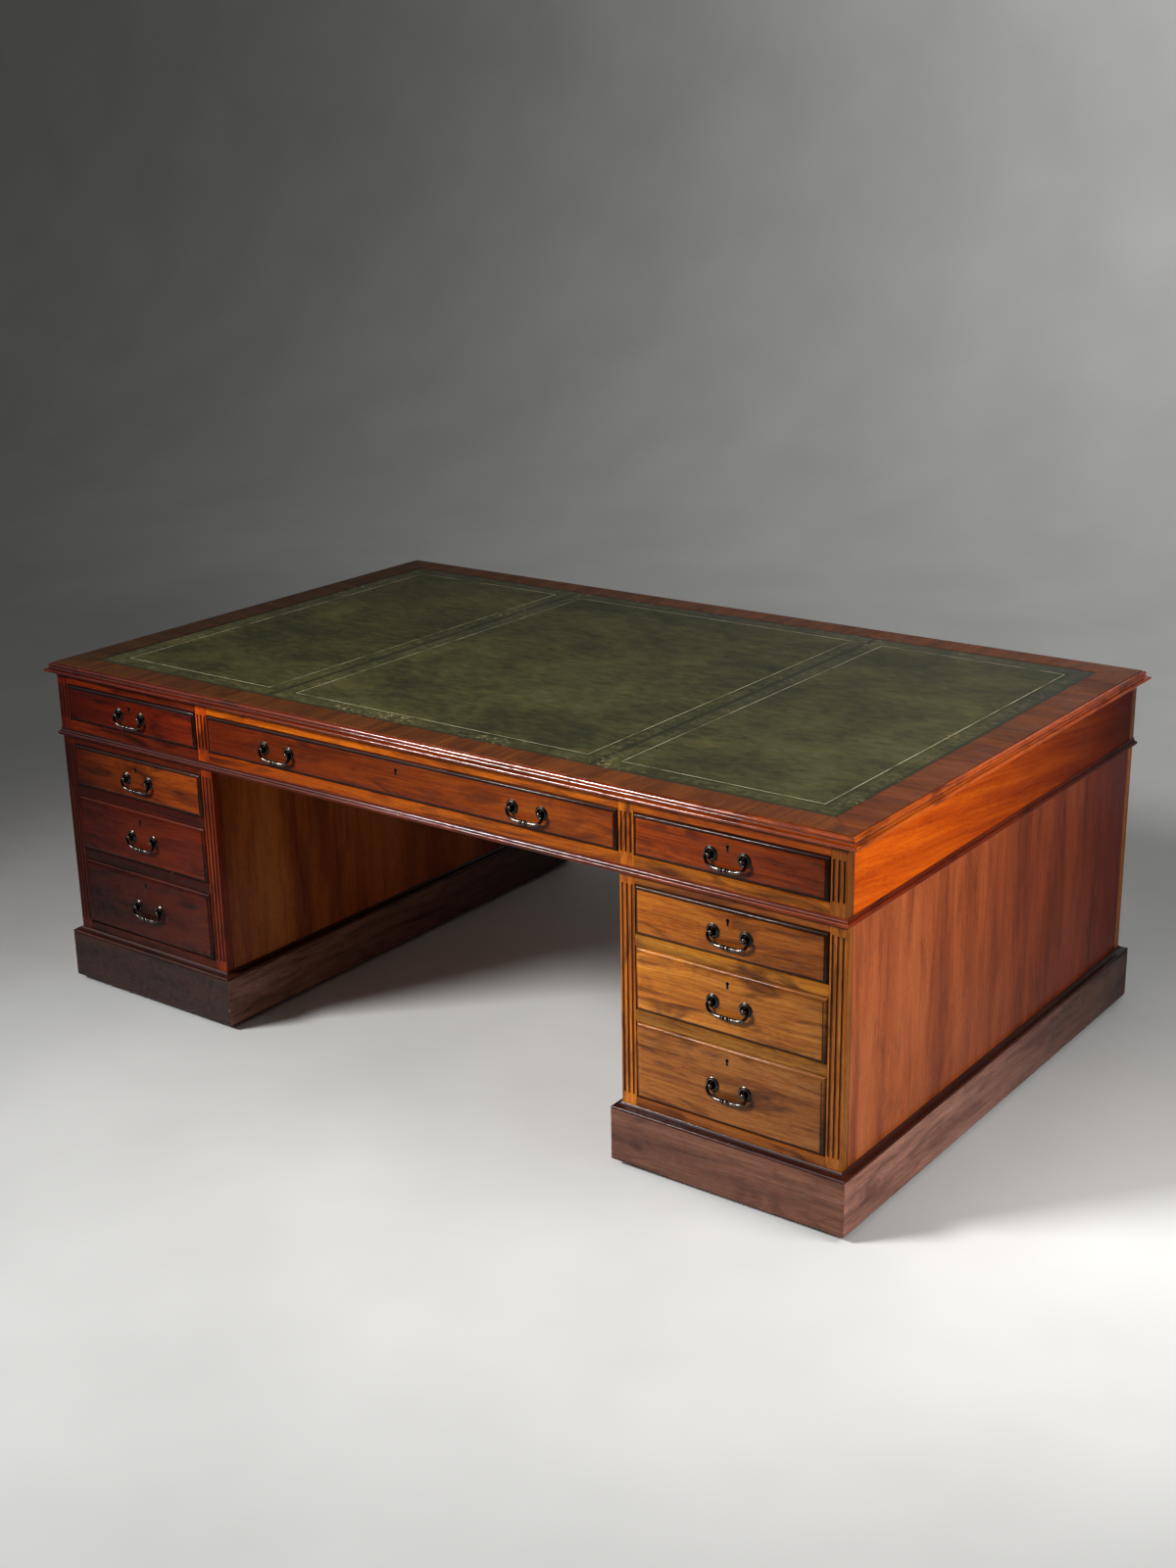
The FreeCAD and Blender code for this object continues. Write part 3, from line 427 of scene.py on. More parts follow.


# a point's place along, across and through its board's grain, its board's stain with painted light, and its
# wear with painted shade
def grade(obj, run, stain=None, wear=None, shift=None, slant=0.0):
    mesh = obj.data
    shift = shift or Vector([random.uniform(-6, 6) for _ in range(3)])
    shade = random.uniform(0.94, 1.06)
    even = None if callable(stain) else linear(stain or "#ffffff")
    for name, kind, domain in (("grain", "FLOAT_VECTOR", "CORNER"), ("stain", "FLOAT_COLOR", "CORNER"),
                               ("wear", "FLOAT", "POINT")):
        if name in mesh.attributes:
            mesh.attributes.remove(mesh.attributes[name])
        mesh.attributes.new(name, kind, domain)
    places, tints = [], []
    for face in mesh.polygons:
        along, across, through = axes[run(face.center) if callable(run) else run]
        for corner in face.vertices:
            spot = mesh.vertices[corner].co
            places += [spot[along] + shift[0], spot[across] + slant * spot[along] + shift[1],
                       spot[through] + shift[2]]
            tints += [shade * c for c in (even or stain(spot, face))[:3]] + [1.0]
    mesh.attributes["grain"].data.foreach_set("vector", places)
    mesh.attributes["stain"].data.foreach_set("color", tints)
    mesh.attributes["wear"].data.foreach_set("value", [wear(v.co) if wear else 0.0 for v in mesh.vertices])


def boxWear(low, high, width=3.5 * mm):
    def wear(spot):
        gaps = sorted(min(abs(spot[i] - low[i]), abs(spot[i] - high[i])) for i in range(3))
        return max(0.0, 1 - gaps[1] / width)
    return wear


def addBoard(low, high, run, stain=None, arris=0.6 * mm, rim=4 * mm, slant=0.0):
    low, high = [list(c) for c in zip(*(sorted(pair) for pair in zip(low, high)))]
    size = [b - a for a, b in zip(low, high)]
    board = addBox([(a + b) / 2 for a, b in zip(low, high)], size)
    edit(board, "EDGE", "SELECT")
    bpy.ops.mesh.bevel(offset=arris, segments=2, affect="EDGES")
    bpy.ops.mesh.select_mode(type="FACE")
    pick(board, "faces", lambda face: max(abs(c) for c in face.normal) > 0.9999)
    bpy.ops.mesh.inset(thickness=min(rim, 0.3 * min(size)), use_individual=True)
    leave()
    grade(board, run, stain, boxWear(low, high), slant=slant)
    return board


def finish(obj, name, material, body, slot, replaces=(), angle=38):
    activate(obj)
    bpy.ops.object.shade_smooth_by_angle(angle=math.radians(angle))
    obj.name = name
    obj.data.materials.clear()
    obj.data.materials.append(material)
    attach(obj, body)
    if replaces:
        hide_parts(*replaces)
    return obj


# a moulding's profile, drawn out round a rectangle ring by ring, with mitred corners
def addRing(halfX, halfY, centreX, profile):
    deselect()
    outward, level = profile[0][:2]
    bpy.ops.mesh.primitive_plane_add(size=2, location=(centreX, 0, level))
    ring = bpy.context.object
    ring.scale = (halfX + outward, halfY + outward, 1)
    applied()
    edit(ring, "EDGE", "SELECT")
    bpy.ops.mesh.delete(type="ONLY_FACE")
    bpy.ops.mesh.select_all(action="SELECT")
    for (before, low), (after, high) in zip([p[:2] for p in profile],
                                            [p[:2] for p in profile[1:] + profile[:1]]):
        bpy.ops.mesh.extrude_edges_move(TRANSFORM_OT_translate={"value": (0, 0, high - low)})
        stretch = ((halfX + after) / (halfX + before), (halfY + after) / (halfY + before), 1)
        bpy.ops.transform.resize(value=stretch, center_override=(centreX, 0, high))
    leave()
    closeUp(ring)
    return ring


def ringRun(halfX, halfY, centreX):
    return lambda spot: "y" if abs(spot.x - centreX) - halfX > abs(spot.y) - halfY else "x"


# a profile's negative values darken its quirks and hollows with painted shade; positive values mark rubbed
# arrises
def ringWearAndShade(halfX, halfY, centreX, profile):
    def wear(spot):
        out = max(abs(spot.x - centreX) - halfX, abs(spot.y) - halfY)
        nearest = min(profile, key=lambda p: (p[0] - out) ** 2 + (p[1] - spot.z) ** 2)
        return nearest[2] if len(nearest) > 2 else 0.0
    return wear


# the lengths of a ring are tinted from left to right, and its ends from front to back; the tint carries
# painted light as well as the wood's tone
def ringStainWithPaintedLight(halfX, halfY, centreX, lengths, ends):
    run = ringRun(halfX, halfY, centreX)
    tints = {"x": toneAndLightRamp(0, centreX - halfX, centreX + halfX, *lengths), "y": toneAndLightRamp(1, -halfY, halfY, *ends)}
    return lambda spot, face: tints[run(face.center)](spot, face)


def mouldedRing(halfX, halfY, centreX, profile, lengths, ends):
    ring = addRing(halfX, halfY, centreX, profile)
    grade(ring, ringRun(halfX, halfY, centreX), ringStainWithPaintedLight(halfX, halfY, centreX, lengths, ends),
          ringWearAndShade(halfX, halfY, centreX, profile))
    return ring


# one vertex is drawn out from point to point, the loop is filled and given its thickness
def addOutline(points, thickness):
    deselect()
    points = [Vector(point) for point in points]
    bpy.ops.mesh.primitive_plane_add(size=mm, location=points[0])
    piece = applied()
    edit(piece, "VERT", "SELECT")
    bpy.ops.mesh.merge(type="CENTER")
    for before, after in zip(points, points[1:]):
        bpy.ops.mesh.extrude_vertices_move(TRANSFORM_OT_translate={"value": after - before})
    bpy.ops.mesh.select_all(action="SELECT")
    if thickness:
        bpy.ops.mesh.edge_face_add()
        bpy.ops.mesh.extrude_region_move(TRANSFORM_OT_translate={"value": Vector(thickness)})
        bpy.ops.mesh.select_all(action="SELECT")
        bpy.ops.mesh.normals_make_consistent(inside=False)
    leave()
    return piece


# a turned part: its half profile is drawn and spun about the axis
def addTurned(points, axis, steps, centre=(0, 0, 0)):
    piece = addOutline(points, None)
    edit(piece, "VERT", "SELECT")
    bpy.ops.mesh.spin(steps=steps, angle=2 * math.pi, center=centre,
                      axis=[float(name == axis) for name in "xyz"])
    leave()
    closeUp(piece)
    return piece


# ---- top
top = {"endOverhang": 8 * mm, "bandEnd": 75 * mm, "bandFront": 69 * mm, "leather": 1.6 * mm, "seam": 427 * mm,
       "projection": 16.5 * mm, "giltFromSeam": 40 * mm, "giltFromEdge": 49.5 * mm, "inset": 90 * mm,
       # the band's and the edge's tints carry painted light, lighter towards the right and brightest at the
       # front of the right end
       "bandStainWithPaintedLight": {"x": ("#c4d2e8", "#fff0c0"), "y": ("#a4c8f4", "#ffe4b0")},
       "edgeStainWithPaintedLight": (("#6c2a0c", "#b47c3c"), ("#ffc010", "#ffa618"))}
halfTopX = desk["halfLength"] + top["endOverhang"]
halfTopY = desk["halfFrieze"]
halfLeatherX = halfTopX - top["bandEnd"]
halfLeatherY = halfTopY - top["bandFront"]


def makeTopEdge():
    high = desk["top"]
    crest = (1.2 * mm, high - 1.4 * mm)
    foot = (8 * mm, high - 8.8 * mm)
    # the quirk and the hollow below it are darkened with painted shade
    quirk = [(6.4 * mm, foot[1], -0.6), (6.4 * mm, foot[1] - 1.6 * mm, -0.9)]
    nose = (13 * mm, desk["friezeTop"] + 7 * mm)
    profile = [(0.0, desk["friezeTop"]), (0.0, crest[1], 0.0), (*crest, 1.0)]
    profile += [(*point, 0.5 if index < 2 else 0.0)
                for index, point in enumerate(arc(crest, foot, 2.4 * mm, 7))]
    profile += quirk
    profile += [(*point, -0.2) for point in arc(quirk[-1][:2], nose, -1 * mm, 5)]
    profile += [(*point, 0.15) for point in arc(nose, (nose[0], desk["friezeTop"]), 3.5 * mm, 9)]
    edge = mouldedRing(halfTopX, halfTopY, 0, profile, *top["edgeStainWithPaintedLight"])
    finish(edge, "topEdgeMoulding", mouldedMahogany, "carcass", "polished_mahogany", ["top_edge_moulding"])


def makeCrossbanding():
    strips = []
    for turn in (-1, 1):
        for run in ("x", "y"):
            outer, inner = ((halfTopX, halfTopY), (halfLeatherX, halfLeatherY))
            if run == "x":
                corners = [(-outer[0], turn * outer[1]), (outer[0], turn * outer[1]),
                           (inner[0], turn * inner[1]), (-inner[0], turn * inner[1])]
            else:
                corners = [(turn * outer[0], -outer[1]), (turn * outer[0], outer[1]),
                           (turn * inner[0], inner[1]), (turn * inner[0], -inner[1])]
            strip = addOutline([(x, y, desk["boardTop"]) for x, y in corners],
                               (0, 0, desk["top"] - desk["boardTop"]))
            edit(strip, "EDGE", "SELECT")
            bpy.ops.mesh.bevel(offset=0.25 * mm, segments=2, affect="EDGES")
            bpy.ops.mesh.select_mode(type="FACE")
            pick(strip, "faces", lambda face: face.normal.z > 0.9999)
            bpy.ops.mesh.inset(thickness=5 * mm)
            leave()

            # the band is laid in lengths, and their joints show as dark lines
            axis = 0 if run == "x" else 1
            joints = [(share + random.uniform(-0.06, 0.06)) * outer[axis]
                      for share in ((-0.5, 0.05, 0.55) if run == "x" else (-0.3, 0.4))]
            edit(strip, "FACE")
            for joint in joints:
                for beside in (-0.6, 0, 0.6):
                    plane = [0, 0, 0]
                    plane[axis] = joint + beside * mm
                    bpy.ops.mesh.select_all(action="SELECT")
                    bpy.ops.mesh.bisect(plane_co=plane, plane_no=[float(count == axis) for count in range(3)])
            leave()

            def wear(spot, axis=axis, joints=joints):
                x, y = abs(spot.x), abs(spot.y)
                if min(abs(spot[axis] - joint) for joint in joints) < 0.1 * mm:
                    return -0.7
                if x > halfTopX - 1 * mm or y > halfTopY - 1 * mm:
                    return 0.9
                rim = min(abs(x - halfLeatherX) if y < halfLeatherY + 2 * mm else 1,
                          abs(y - halfLeatherY) if x < halfLeatherX + 2 * mm else 1)
                return -0.5 if rim < 1 * mm else 0.0
            tint = toneAndLightRamp(0, -halfTopX, halfTopX, *top["bandStainWithPaintedLight"][run])
            # crossbanded: the grain lies across the strip
            grade(strip, "y" if run == "x" else "x", tint, wear)
            strips.append(strip)
    band = joined(strips)
    finish(band, "crossbanding", bandedVeneer, "carcass", "crossbanding_veneer", ["crossbanding"])


def makeLeatherPanels():
    panels = []
    seams = (-halfLeatherX, -top["seam"], top["seam"], halfLeatherX)
    for left, right in zip(seams, seams[1:]):
        low, high = desk["boardTop"], desk["boardTop"] + top["leather"]
        # the gilt line stands nearer to a seam than to the edge of the desk
        scales = [top["giltFromSeam"] / top["giltFromEdge"] if abs(side) < halfLeatherX - mm else 1.0
                  for side in (left, right)]
        middle = (left + right) / 2
        panel = addBox((middle, 0, (low + high) / 2), (right - left, 2 * halfLeatherY, high - low))
        edit(panel, "EDGE")
        pick(panel, "edges", lambda e: min(v.co.z for v in e.verts) > high - 0.1 * mm)
        bpy.ops.mesh.bevel(offset=0.7 * mm, segments=3, affect="EDGES")
        bpy.ops.mesh.select_mode(type="FACE")
        pick(panel, "faces", lambda face: face.normal.z > 0.9999)
        bpy.ops.mesh.inset(thickness=top["inset"])
        leave()
        inner = top["inset"]
        for vertex in panel.data.vertices:
            x, y, z = vertex.co
            if z > high - 0.01 * mm and abs(y) < halfLeatherY - inner / 2:
                vertex.co.x = left + inner * scales[0] if x < middle else right - inner * scales[1]
        values = [min((v.co.x - left) / scales[0], (right - v.co.x) / scales[1], halfLeatherY - abs(v.co.y))
                  for v in panel.data.vertices]
        edgeValue = panel.data.attributes.new("edge", "FLOAT", "POINT")
        edgeValue.data.foreach_set("value", values)
        panels.append(panel)
    leather = joined(panels)
    finish(leather, "leatherSkivers", greenLeather, "carcass", "green_leather", ["leather_panels"])


makeTopEdge()
makeCrossbanding()
makeLeatherPanels()
print("top made")


# ---- frieze section and pedestals
flutes = {"pitch": 10.6 * mm, "radius": 2.8 * mm, "sink": 0.4 * mm, "fromEnd": 3 * mm}
# the stains carry painted light as well as the wood's tone: the left pedestal is darkened, the right one
# lightened, and the ends, sides and plinths lighten towards the front
stainsWithPaintedLight = {
    "friezeStile": ("#6a3310", "#ed9a30", "#ffe786", "#a09064"),
    "friezeRail": ((("#7e450a", "#7e450a"), ("#78430d", "#78430d")),
                   (("#e2b43a", "#e2c048"), ("#b1760a", "#dbbd3f")),
                   (("#ba8d20", "#ba8d20"), ("#aa9645", "#aa9645"))),    # above and below each drawer
    "friezeEnd": ("#ffffff", "#5a2512"), "bead": (("#441608", "#9c6434"), ("#a86028", "#4c2006")),
    "pedestalStile": {-1: ("#a4632c", "#642e12"), 1: ("#e6d498", "#bcb07e")},    # inner and outer
    "pedestalRail": {-1: (("#452410", "#744018"), ("#3d2010", "#5e3c20"), ("#3a1a06", "#683412"),
                          ("#2a1006", "#44200c")),
                     1: (("#a09078", "#a09078"), ("#9c8a74", "#9c8a74"), ("#c6cb95", "#c6cb95"),
                         ("#aeb8a0", "#aeb8a0"))},
    "innerSide": "#b99a59", "outerSide": ("#e0bc90", "#843c18"), "door": "#c8ac78",
    "plinth": {-1: (("#443424", "#443424"), ("#d8d8d4", "#433b37")),
               1: (("#887c70", "#988c7c"), ("#ffffff", "#60483a"))},
    "plinthMoulding": (("#58321c", "#58321c"), ("#683c20", "#462a18"))}


def addFlutedStile(left, right, outward, face, low, high, openLow, openHigh, stain):
    # outward is -1 on the front; the flutes are scooped with a capsule-shaped cutter each
    back = face - outward * desk["frame"]
    board = addBoard((left, face, low), (right, back, high), "z", stain)
    cutters = []
    bottom, upper = openLow + flutes["fromEnd"], openHigh - flutes["fromEnd"]
    for count in (-1, 0, 1):
        deselect()
        centre = ((left + right) / 2 + count * flutes["pitch"], face + outward * flutes["sink"],
                  bottom + flutes["radius"])
        bpy.ops.mesh.primitive_uv_sphere_add(segments=24, ring_count=12, radius=flutes["radius"],
                                             location=centre)
        capsule = applied()
        edit(capsule)
        pick(capsule, "verts", lambda v: v.co.z > centre[2] + 0.01 * mm)
        bpy.ops.transform.translate(value=(0, 0, upper - bottom - 2 * flutes["radius"]))
        leave()
        cutters.append(capsule)
    cut(board, joined(cutters))
    corner = boxWear((left, min(face, back), low), (right, max(face, back), high))

    def wear(spot):
        depth = outward * (face - spot.y)
        inFlutes = abs(spot.x - (left + right) / 2) < 14 * mm and bottom - mm < spot.z < upper + mm
        # the flutes are darkened with painted shade, and their ridges are marked as rubbed
        if inFlutes and depth < 0.05 * mm:
            return 0.75
        if inFlutes and depth < 5 * mm:
            return -0.55
        return corner(spot)
    grade(board, "z", stain, wear)
    return board


def makeFrieze():
    low, high = desk["friezeLow"], desk["friezeTop"]
    openLow, openHigh = desk["friezeOpen"]
    length, inner = desk["halfLength"], desk["kneehole"]
    uprights = ((-length, -openOuter), (-openInner, -inner), (inner, openInner), (openOuter, length))
    boards = []
    for outward in (-1, 1):
        face = outward * desk["halfFrieze"]
        back = face - outward * desk["frame"]
        for (left, right), stain in zip(uprights, stainsWithPaintedLight["friezeStile"]):
            boards.append(addFlutedStile(left, right, outward, face, low, high, openLow, openHigh, stain))
        for before, after, (above, below) in zip(uprights, uprights[1:], stainsWithPaintedLight["friezeRail"]):
            ends = (before[1], after[0])
            boards.append(addBoard((ends[0], face, low), (ends[1], back, openLow), "x",
                                   toneAndLightRamp(0, *ends, *below)))
            boards.append(addBoard((ends[0], face, openHigh), (ends[1], back, high), "x",
                                   toneAndLightRamp(0, *ends, *above)))
    finish(joined(boards), "friezeFrames", polishedMahogany, "carcass", "polished_mahogany",
           ["frieze_frames"])
    inside = desk["halfFrieze"] - desk["frame"]
    # the ends carry painted side light, brightest at the front and darkening towards the back
    ends = [addBoard((side * length, -inside, low), (side * (length - 20 * mm), inside, high), "y",
                     toneAndLightRamp(1, -inside, inside, *stainsWithPaintedLight["friezeEnd"]), slant=0.12) for side in (-1, 1)]
    finish(joined(ends), "friezeEnds", paintedSideLightMahogany, "carcass", "polished_mahogany", ["frieze_ends"])

    foot = desk["friezeLow"]
    out = 3 * mm
    bead = [(0.0, foot), (0.0, foot + 17.5 * mm), (1.1 * mm, foot + 17.5 * mm, 0.5),
            (1.5 * mm, foot + 17.1 * mm, 0.8)]
    # the hollow and the quirk under the fillet are darkened with painted shade
    bead += [(*point, -0.2)
             for point in arc((1.5 * mm, foot + 16.6 * mm), (out, foot + 11 * mm), -0.8 * mm, 4)]
    bead += [(out, foot + 10 * mm, -0.8)]
    bead += [(*point, 0.15) for point in arc((out, foot + 10 * mm), (out, foot), 4 * mm, 10)]
    finish(mouldedRing(length, desk["halfFrieze"], 0, bead, *stainsWithPaintedLight["bead"]), "friezeBead",
           polishedMahogany, "carcass", "polished_mahogany", ["frieze_bead"])


drawerHeights = [100.8333 * mm, 130.8333 * mm, 160.8333 * mm]    # of the openings, from the top
middleRail = 23.5 * mm
pedestal = {"board": 12 * mm, "runner": 20 * mm, "guide": 20 * mm, "dust": (13 * mm, 7 * mm),
            "ledge": 14 * mm, "shelfBack": 36 * mm, "block": (20.5 * mm, 38.5 * mm), "blockLong": 80 * mm,
            "blockHigh": 14 * mm}
base = {"foot": 12 * mm, "out": 17 * mm, "thick": 25 * mm, "block": 84 * mm}


def levelSpan(level):
    high = desk["pedestalOpen"][1]
    for above in range(level):
        high -= drawerHeights[above] + middleRail
    return high - drawerHeights[level], high


def makePedestal(side, sideName):
    low, high = desk["pedestalLow"], desk["friezeLow"]
    openLow, openHigh = desk["pedestalOpen"]
    inner, outer = desk["kneehole"], desk["halfLength"]
    boards = []
    for outward in (-1, 1):
        face = outward * desk["halfPedestal"]
        back = face - outward * desk["frame"]
        for (a, b), stain in zip(((inner, openInner), (openOuter, outer)), stainsWithPaintedLight["pedestalStile"][side]):
            left, right = sorted((side * a, side * b))
            boards.append(addFlutedStile(left, right, outward, face, low, high, openLow, openHigh, stain))
        rails = [(openHigh, high), (low, openLow)]
        if outward < 0:
            rails += [(levelSpan(level)[1], levelSpan(level)[1] + middleRail) for level in (1, 2)]
        for (bottom, upper), stain in zip(rails, stainsWithPaintedLight["pedestalRail"][side]):
            ends = sorted((side * openInner, side * openOuter))
            boards.append(addBoard((ends[0], face, bottom), (ends[1], back, upper), "x",
                                   toneAndLightRamp(0, *ends, *stain)))
    finish(joined(boards), sideName + "PedestalFrames", polishedMahogany, "carcass", "polished_mahogany",
           [sideName + "_pedestal_frames"])

    halfDepth = desk["halfPedestal"] - desk["frame"]
    wallIn, wallOut = inner + desk["wall"], outer - desk["wall"]
    walls = [addBoard((side * inner, -halfDepth, low), (side * wallIn, halfDepth, high), "z",
                      stainsWithPaintedLight["innerSide"]),
             addBoard((side * wallOut, -halfDepth, low), (side * outer, halfDepth, high), "z")]
    # the outer side carries painted light: light at the front, darkening towards the back
    grade(walls[1], "z", toneAndLightRamp(1, -halfDepth, halfDepth, *stainsWithPaintedLight["outerSide"]),
          boxWear((min(side * wallOut, side * outer), -halfDepth, low),
                  (max(side * wallOut, side * outer), halfDepth, high)))
    finish(joined(walls), sideName + "PedestalSides", panelMahogany, "carcass", "polished_mahogany",
           [sideName + "_pedestal_carcass"])

    board, runner, ledge = pedestal["board"], pedestal["runner"], pedestal["ledge"]
    inners = []

    def across(a, b, y0, y1, z0, z1, run="x"):
        inners.append(addBoard((side * a, y0, z0), (side * b, y1, z1), run))
    across(wallIn, wallOut, -halfDepth, halfDepth, low, low + board, "y")
    across(wallIn, wallOut, -halfDepth, halfDepth, high - board, high, "y")
    across(wallIn, wallOut, -board / 2, board / 2, low + board, high - board, "z")
    for level in range(3):
        bottom = levelSpan(level)[0]
        for a, b in ((wallIn, openInner + runner), (openOuter - runner, wallOut)):
            across(a, b, -halfDepth, -board / 2, max(bottom - runner, low + board), bottom, "y")
        for a, b in ((wallIn, openInner), (openOuter, wallOut)):
            across(a, b, -halfDepth, -board / 2, bottom, bottom + pedestal["guide"], "y")
        if level < 2:
            across(openInner + runner, openOuter - runner, -halfDepth, -board / 2,
                   bottom - pedestal["dust"][0], bottom - pedestal["dust"][1])
    shelf = (openLow + openHigh) / 2
    front = halfDepth - pedestal["shelfBack"]
    across(wallIn, wallOut, board / 2, front, shelf, shelf + board)
    for a, b in ((wallIn, wallIn + ledge), (wallOut - ledge, wallOut)):
        across(a, b, board / 2, front, shelf - ledge, shelf, "y")
    blockEnd = halfDepth - 0.5 * mm
    near, far = pedestal["block"]
    for a, b in ((inner + near, inner + far), (outer - far, outer - near)):
        for turn in (-1, 1):
            across(a, b, turn * blockEnd, turn * (blockEnd - pedestal["blockLong"]), high,
                   high + pedestal["blockHigh"], "y")
    finish(joined(inners), sideName + "PedestalInside", drawerLining, "carcass", "carcass_wood")

    # plinth: mitred boards, a bead on their edge and a hollow up to the pedestal's side
    centre = side * (inner + outer) / 2
    halfX, halfY = (outer - inner) / 2, desk["halfPedestal"]
    bottom, out, thick = base["foot"], base["out"], base["thick"]
    boardProfile = [(out - thick, bottom), (out - thick, low), (out - 1.5 * mm, low, 0.3),
                    (out - 0.4 * mm, low - 0.4 * mm, 0.7), (out, low - 1.5 * mm, 0.6),
                    (out, low - 7 * mm, 0.0),
                    (out, bottom + 8 * mm, 0.0), (out, bottom + 1.8 * mm, 0.9), (out - 1.2 * mm, bottom, 1.0)]
    plinth = addRing(halfX, halfY, centre, boardProfile)
    edit(plinth, "EDGE")
    pick(plinth, "edges", lambda e: all(abs(abs(v.co.x - centre) - halfX - out) < 2 * mm
                                        and abs(abs(v.co.y) - halfY - out) < 2 * mm for v in e.verts))
    bpy.ops.mesh.bevel(offset=1.6 * mm, segments=3, affect="EDGES")
    for plane, normal in (((centre + halfX + out - 9 * mm, 0, 0), (1, 0, 0)),
                          ((centre - halfX - out + 9 * mm, 0, 0), (1, 0, 0)),
                          ((0, halfY + out - 9 * mm, 0), (0, 1, 0)),
                          ((0, -halfY - out + 9 * mm, 0), (0, 1, 0))):
        bpy.ops.mesh.select_all(action="SELECT")
        bpy.ops.mesh.bisect(plane_co=plane, plane_no=normal)
    leave()
    profileWear = ringWearAndShade(halfX, halfY, centre, boardProfile)

    def wear(spot):
        x, y = abs(spot.x - centre) - halfX, abs(spot.y) - halfY
        return 1.0 if min(x, y) > out - 4 * mm else profileWear(spot)
    # the plinth's tints carry painted light: the left plinth dark, the right one's ends brightest at the
    # front
    grade(plinth, ringRun(halfX, halfY, centre), ringStainWithPaintedLight(halfX, halfY, centre, *stainsWithPaintedLight["plinth"][side]),
          wear)
    beadTop = (out - 3 * mm, low + 6 * mm)
    hollowFoot = (beadTop[0] - 1.5 * mm, beadTop[1])
    hollowTop = (1.5 * mm, low + 12.5 * mm)
    moulding = [(0.0, low), (0.0, hollowTop[1]), (*hollowTop, 0.5)]
    # the hollow and the quirk above the bead are darkened with painted shade
    moulding += [(*point, -0.4) for point in arc(hollowTop, hollowFoot, -1.5 * mm, 5)]
    moulding += [(*beadTop, -0.8)]
    moulding += [(*point, 0.2) for point in arc(beadTop, (beadTop[0], low), 3 * mm, 9)]
    pieces = [plinth, mouldedRing(halfX, halfY, centre, moulding, *stainsWithPaintedLight["plinthMoulding"])]
    for turnX in (-1, 1):
        for turnY in (-1, 1):
            x = centre + turnX * (halfX + out - thick)
            y = turnY * (halfY + out - thick)
            pieces.append(addBoard((x, y, desk["castor"]),
                                   (x - turnX * base["block"], y - turnY * base["block"], low), "z"))
    finish(joined(pieces), sideName + "Plinth", darkMahogany, "carcass", "dark_mahogany",
           [sideName + "_plinth"])


makeFrieze()
makePedestal(-1, "left")
makePedestal(1, "right")
print("frieze and pedestals made")


# ---- handles, locks and escutcheons, made facing the front with the drawer's field at y = 0
handle = {"spacing": 71 * mm, "out": 9 * mm, "drop": 23.4 * mm}


def makePost():
    # radius against height over the drawer, in millimetres: rim, ring, dished middle, neck and knob
    profile = [(0, 0), (14.5, 0), (14.5, 0.9), (13.9, 1.4), (13.1, 1.4), (12.7, 2.0), (12.2, 2.9),
               (11.3, 3.5), (10.3, 3.5), (9.4, 2.9), (8.9, 2.0), (8.1, 1.7), (7.0, 2.0), (6.3, 2.8),
               (5.4, 3.2), (4.3, 3.4), (3.3, 4.2), (3.0, 5.4), (3.3, 6.6), (3.7, 8.0), (3.8, 9.4),
               (3.5, 10.8), (2.6, 11.8), (1.3, 12.2), (0, 12.3)]
    post = addTurned([(r * mm, -out * mm, 0) for r, out in profile], "y", 40)

    def wear(spot):
        radius = math.hypot(spot.x, spot.z) / mm
        if radius > 13.7 or 10 < radius < 11.9 or spot.y < -9.2 * mm:
            return 1.0
        return -0.6 if radius < 9.2 and spot.y > -7 * mm else 0.0
    grade(post, "x", None, wear)
    return post


def makeBail():
    # half the bail from its pin to the middle: along, down and radius, in millimetres
    half = [(33.5, 0, 1.3), (38.6, 0, 1.6), (41.4, -0.3, 2.3), (42.6, -3.4, 2.9), (42.1, -8.5, 3.0),
            (39.6, -14.2, 3.1), (35, -18.8, 3.2), (29, -21.6, 3.5), (23, -22.9, 4.0), (18, -23.3, 4.5),
            (13.5, -23.4, 4.8), (10.6, -23.4, 4.7), (9, -23.4, 3.9), (7.6, -23.4, 3.2), (3, -23.4, 3.1)]
    path = half + [(-along, down, radius) for along, down, radius in reversed(half)]
    curve = bpy.data.curves.new("bailPath", "CURVE")
    curve.dimensions = "3D"
    curve.bevel_depth = mm
    curve.bevel_resolution = 5
    curve.use_fill_caps = True
    curve.resolution_u = 6
    line = curve.splines.new("NURBS")
    line.points.add(len(path) - 1)
    for point, (along, down, radius) in zip(line.points, path):
        point.co = (along * mm, -handle["out"], down * mm, 1)
        point.radius = radius
    line.order_u = 3
    line.use_endpoint_u = True
    bar = bpy.data.objects.new("bailBar", curve)
    bpy.context.scene.collection.objects.link(bar)
    activate(bar)
    bpy.ops.object.convert(target="MESH")
    bar = bpy.context.object
    # two small collars on the neck, and a bead between them
    grip = [(-8.2, 0), (-8.2, 3.2), (-7.7, 4.1), (-6.9, 4.3), (-6.1, 4.0), (-5.6, 3.3), (-4.6, 3.1),
            (-3.4, 3.2), (-2.9, 4.2), (-1.7, 4.8), (0, 4.95)]
    grip += [(-along, radius) for along, radius in reversed(grip[:-1])]
    collar = addTurned([(along * mm, -handle["out"], radius * mm - handle["drop"]) for along, radius in grip],
                       "x", 28, (0, -handle["out"], -handle["drop"]))
    bail = joined([bar, collar])

    def wear(spot):
        if abs(spot.x) > 8.6 * mm:
            return 0.75 if spot.z < -17 * mm else 0.1
        return 0.9 if math.hypot(spot.y + handle["out"], spot.z + handle["drop"]) > 4.0 * mm else -0.6
    grade(bail, "x", None, wear)
    return bail


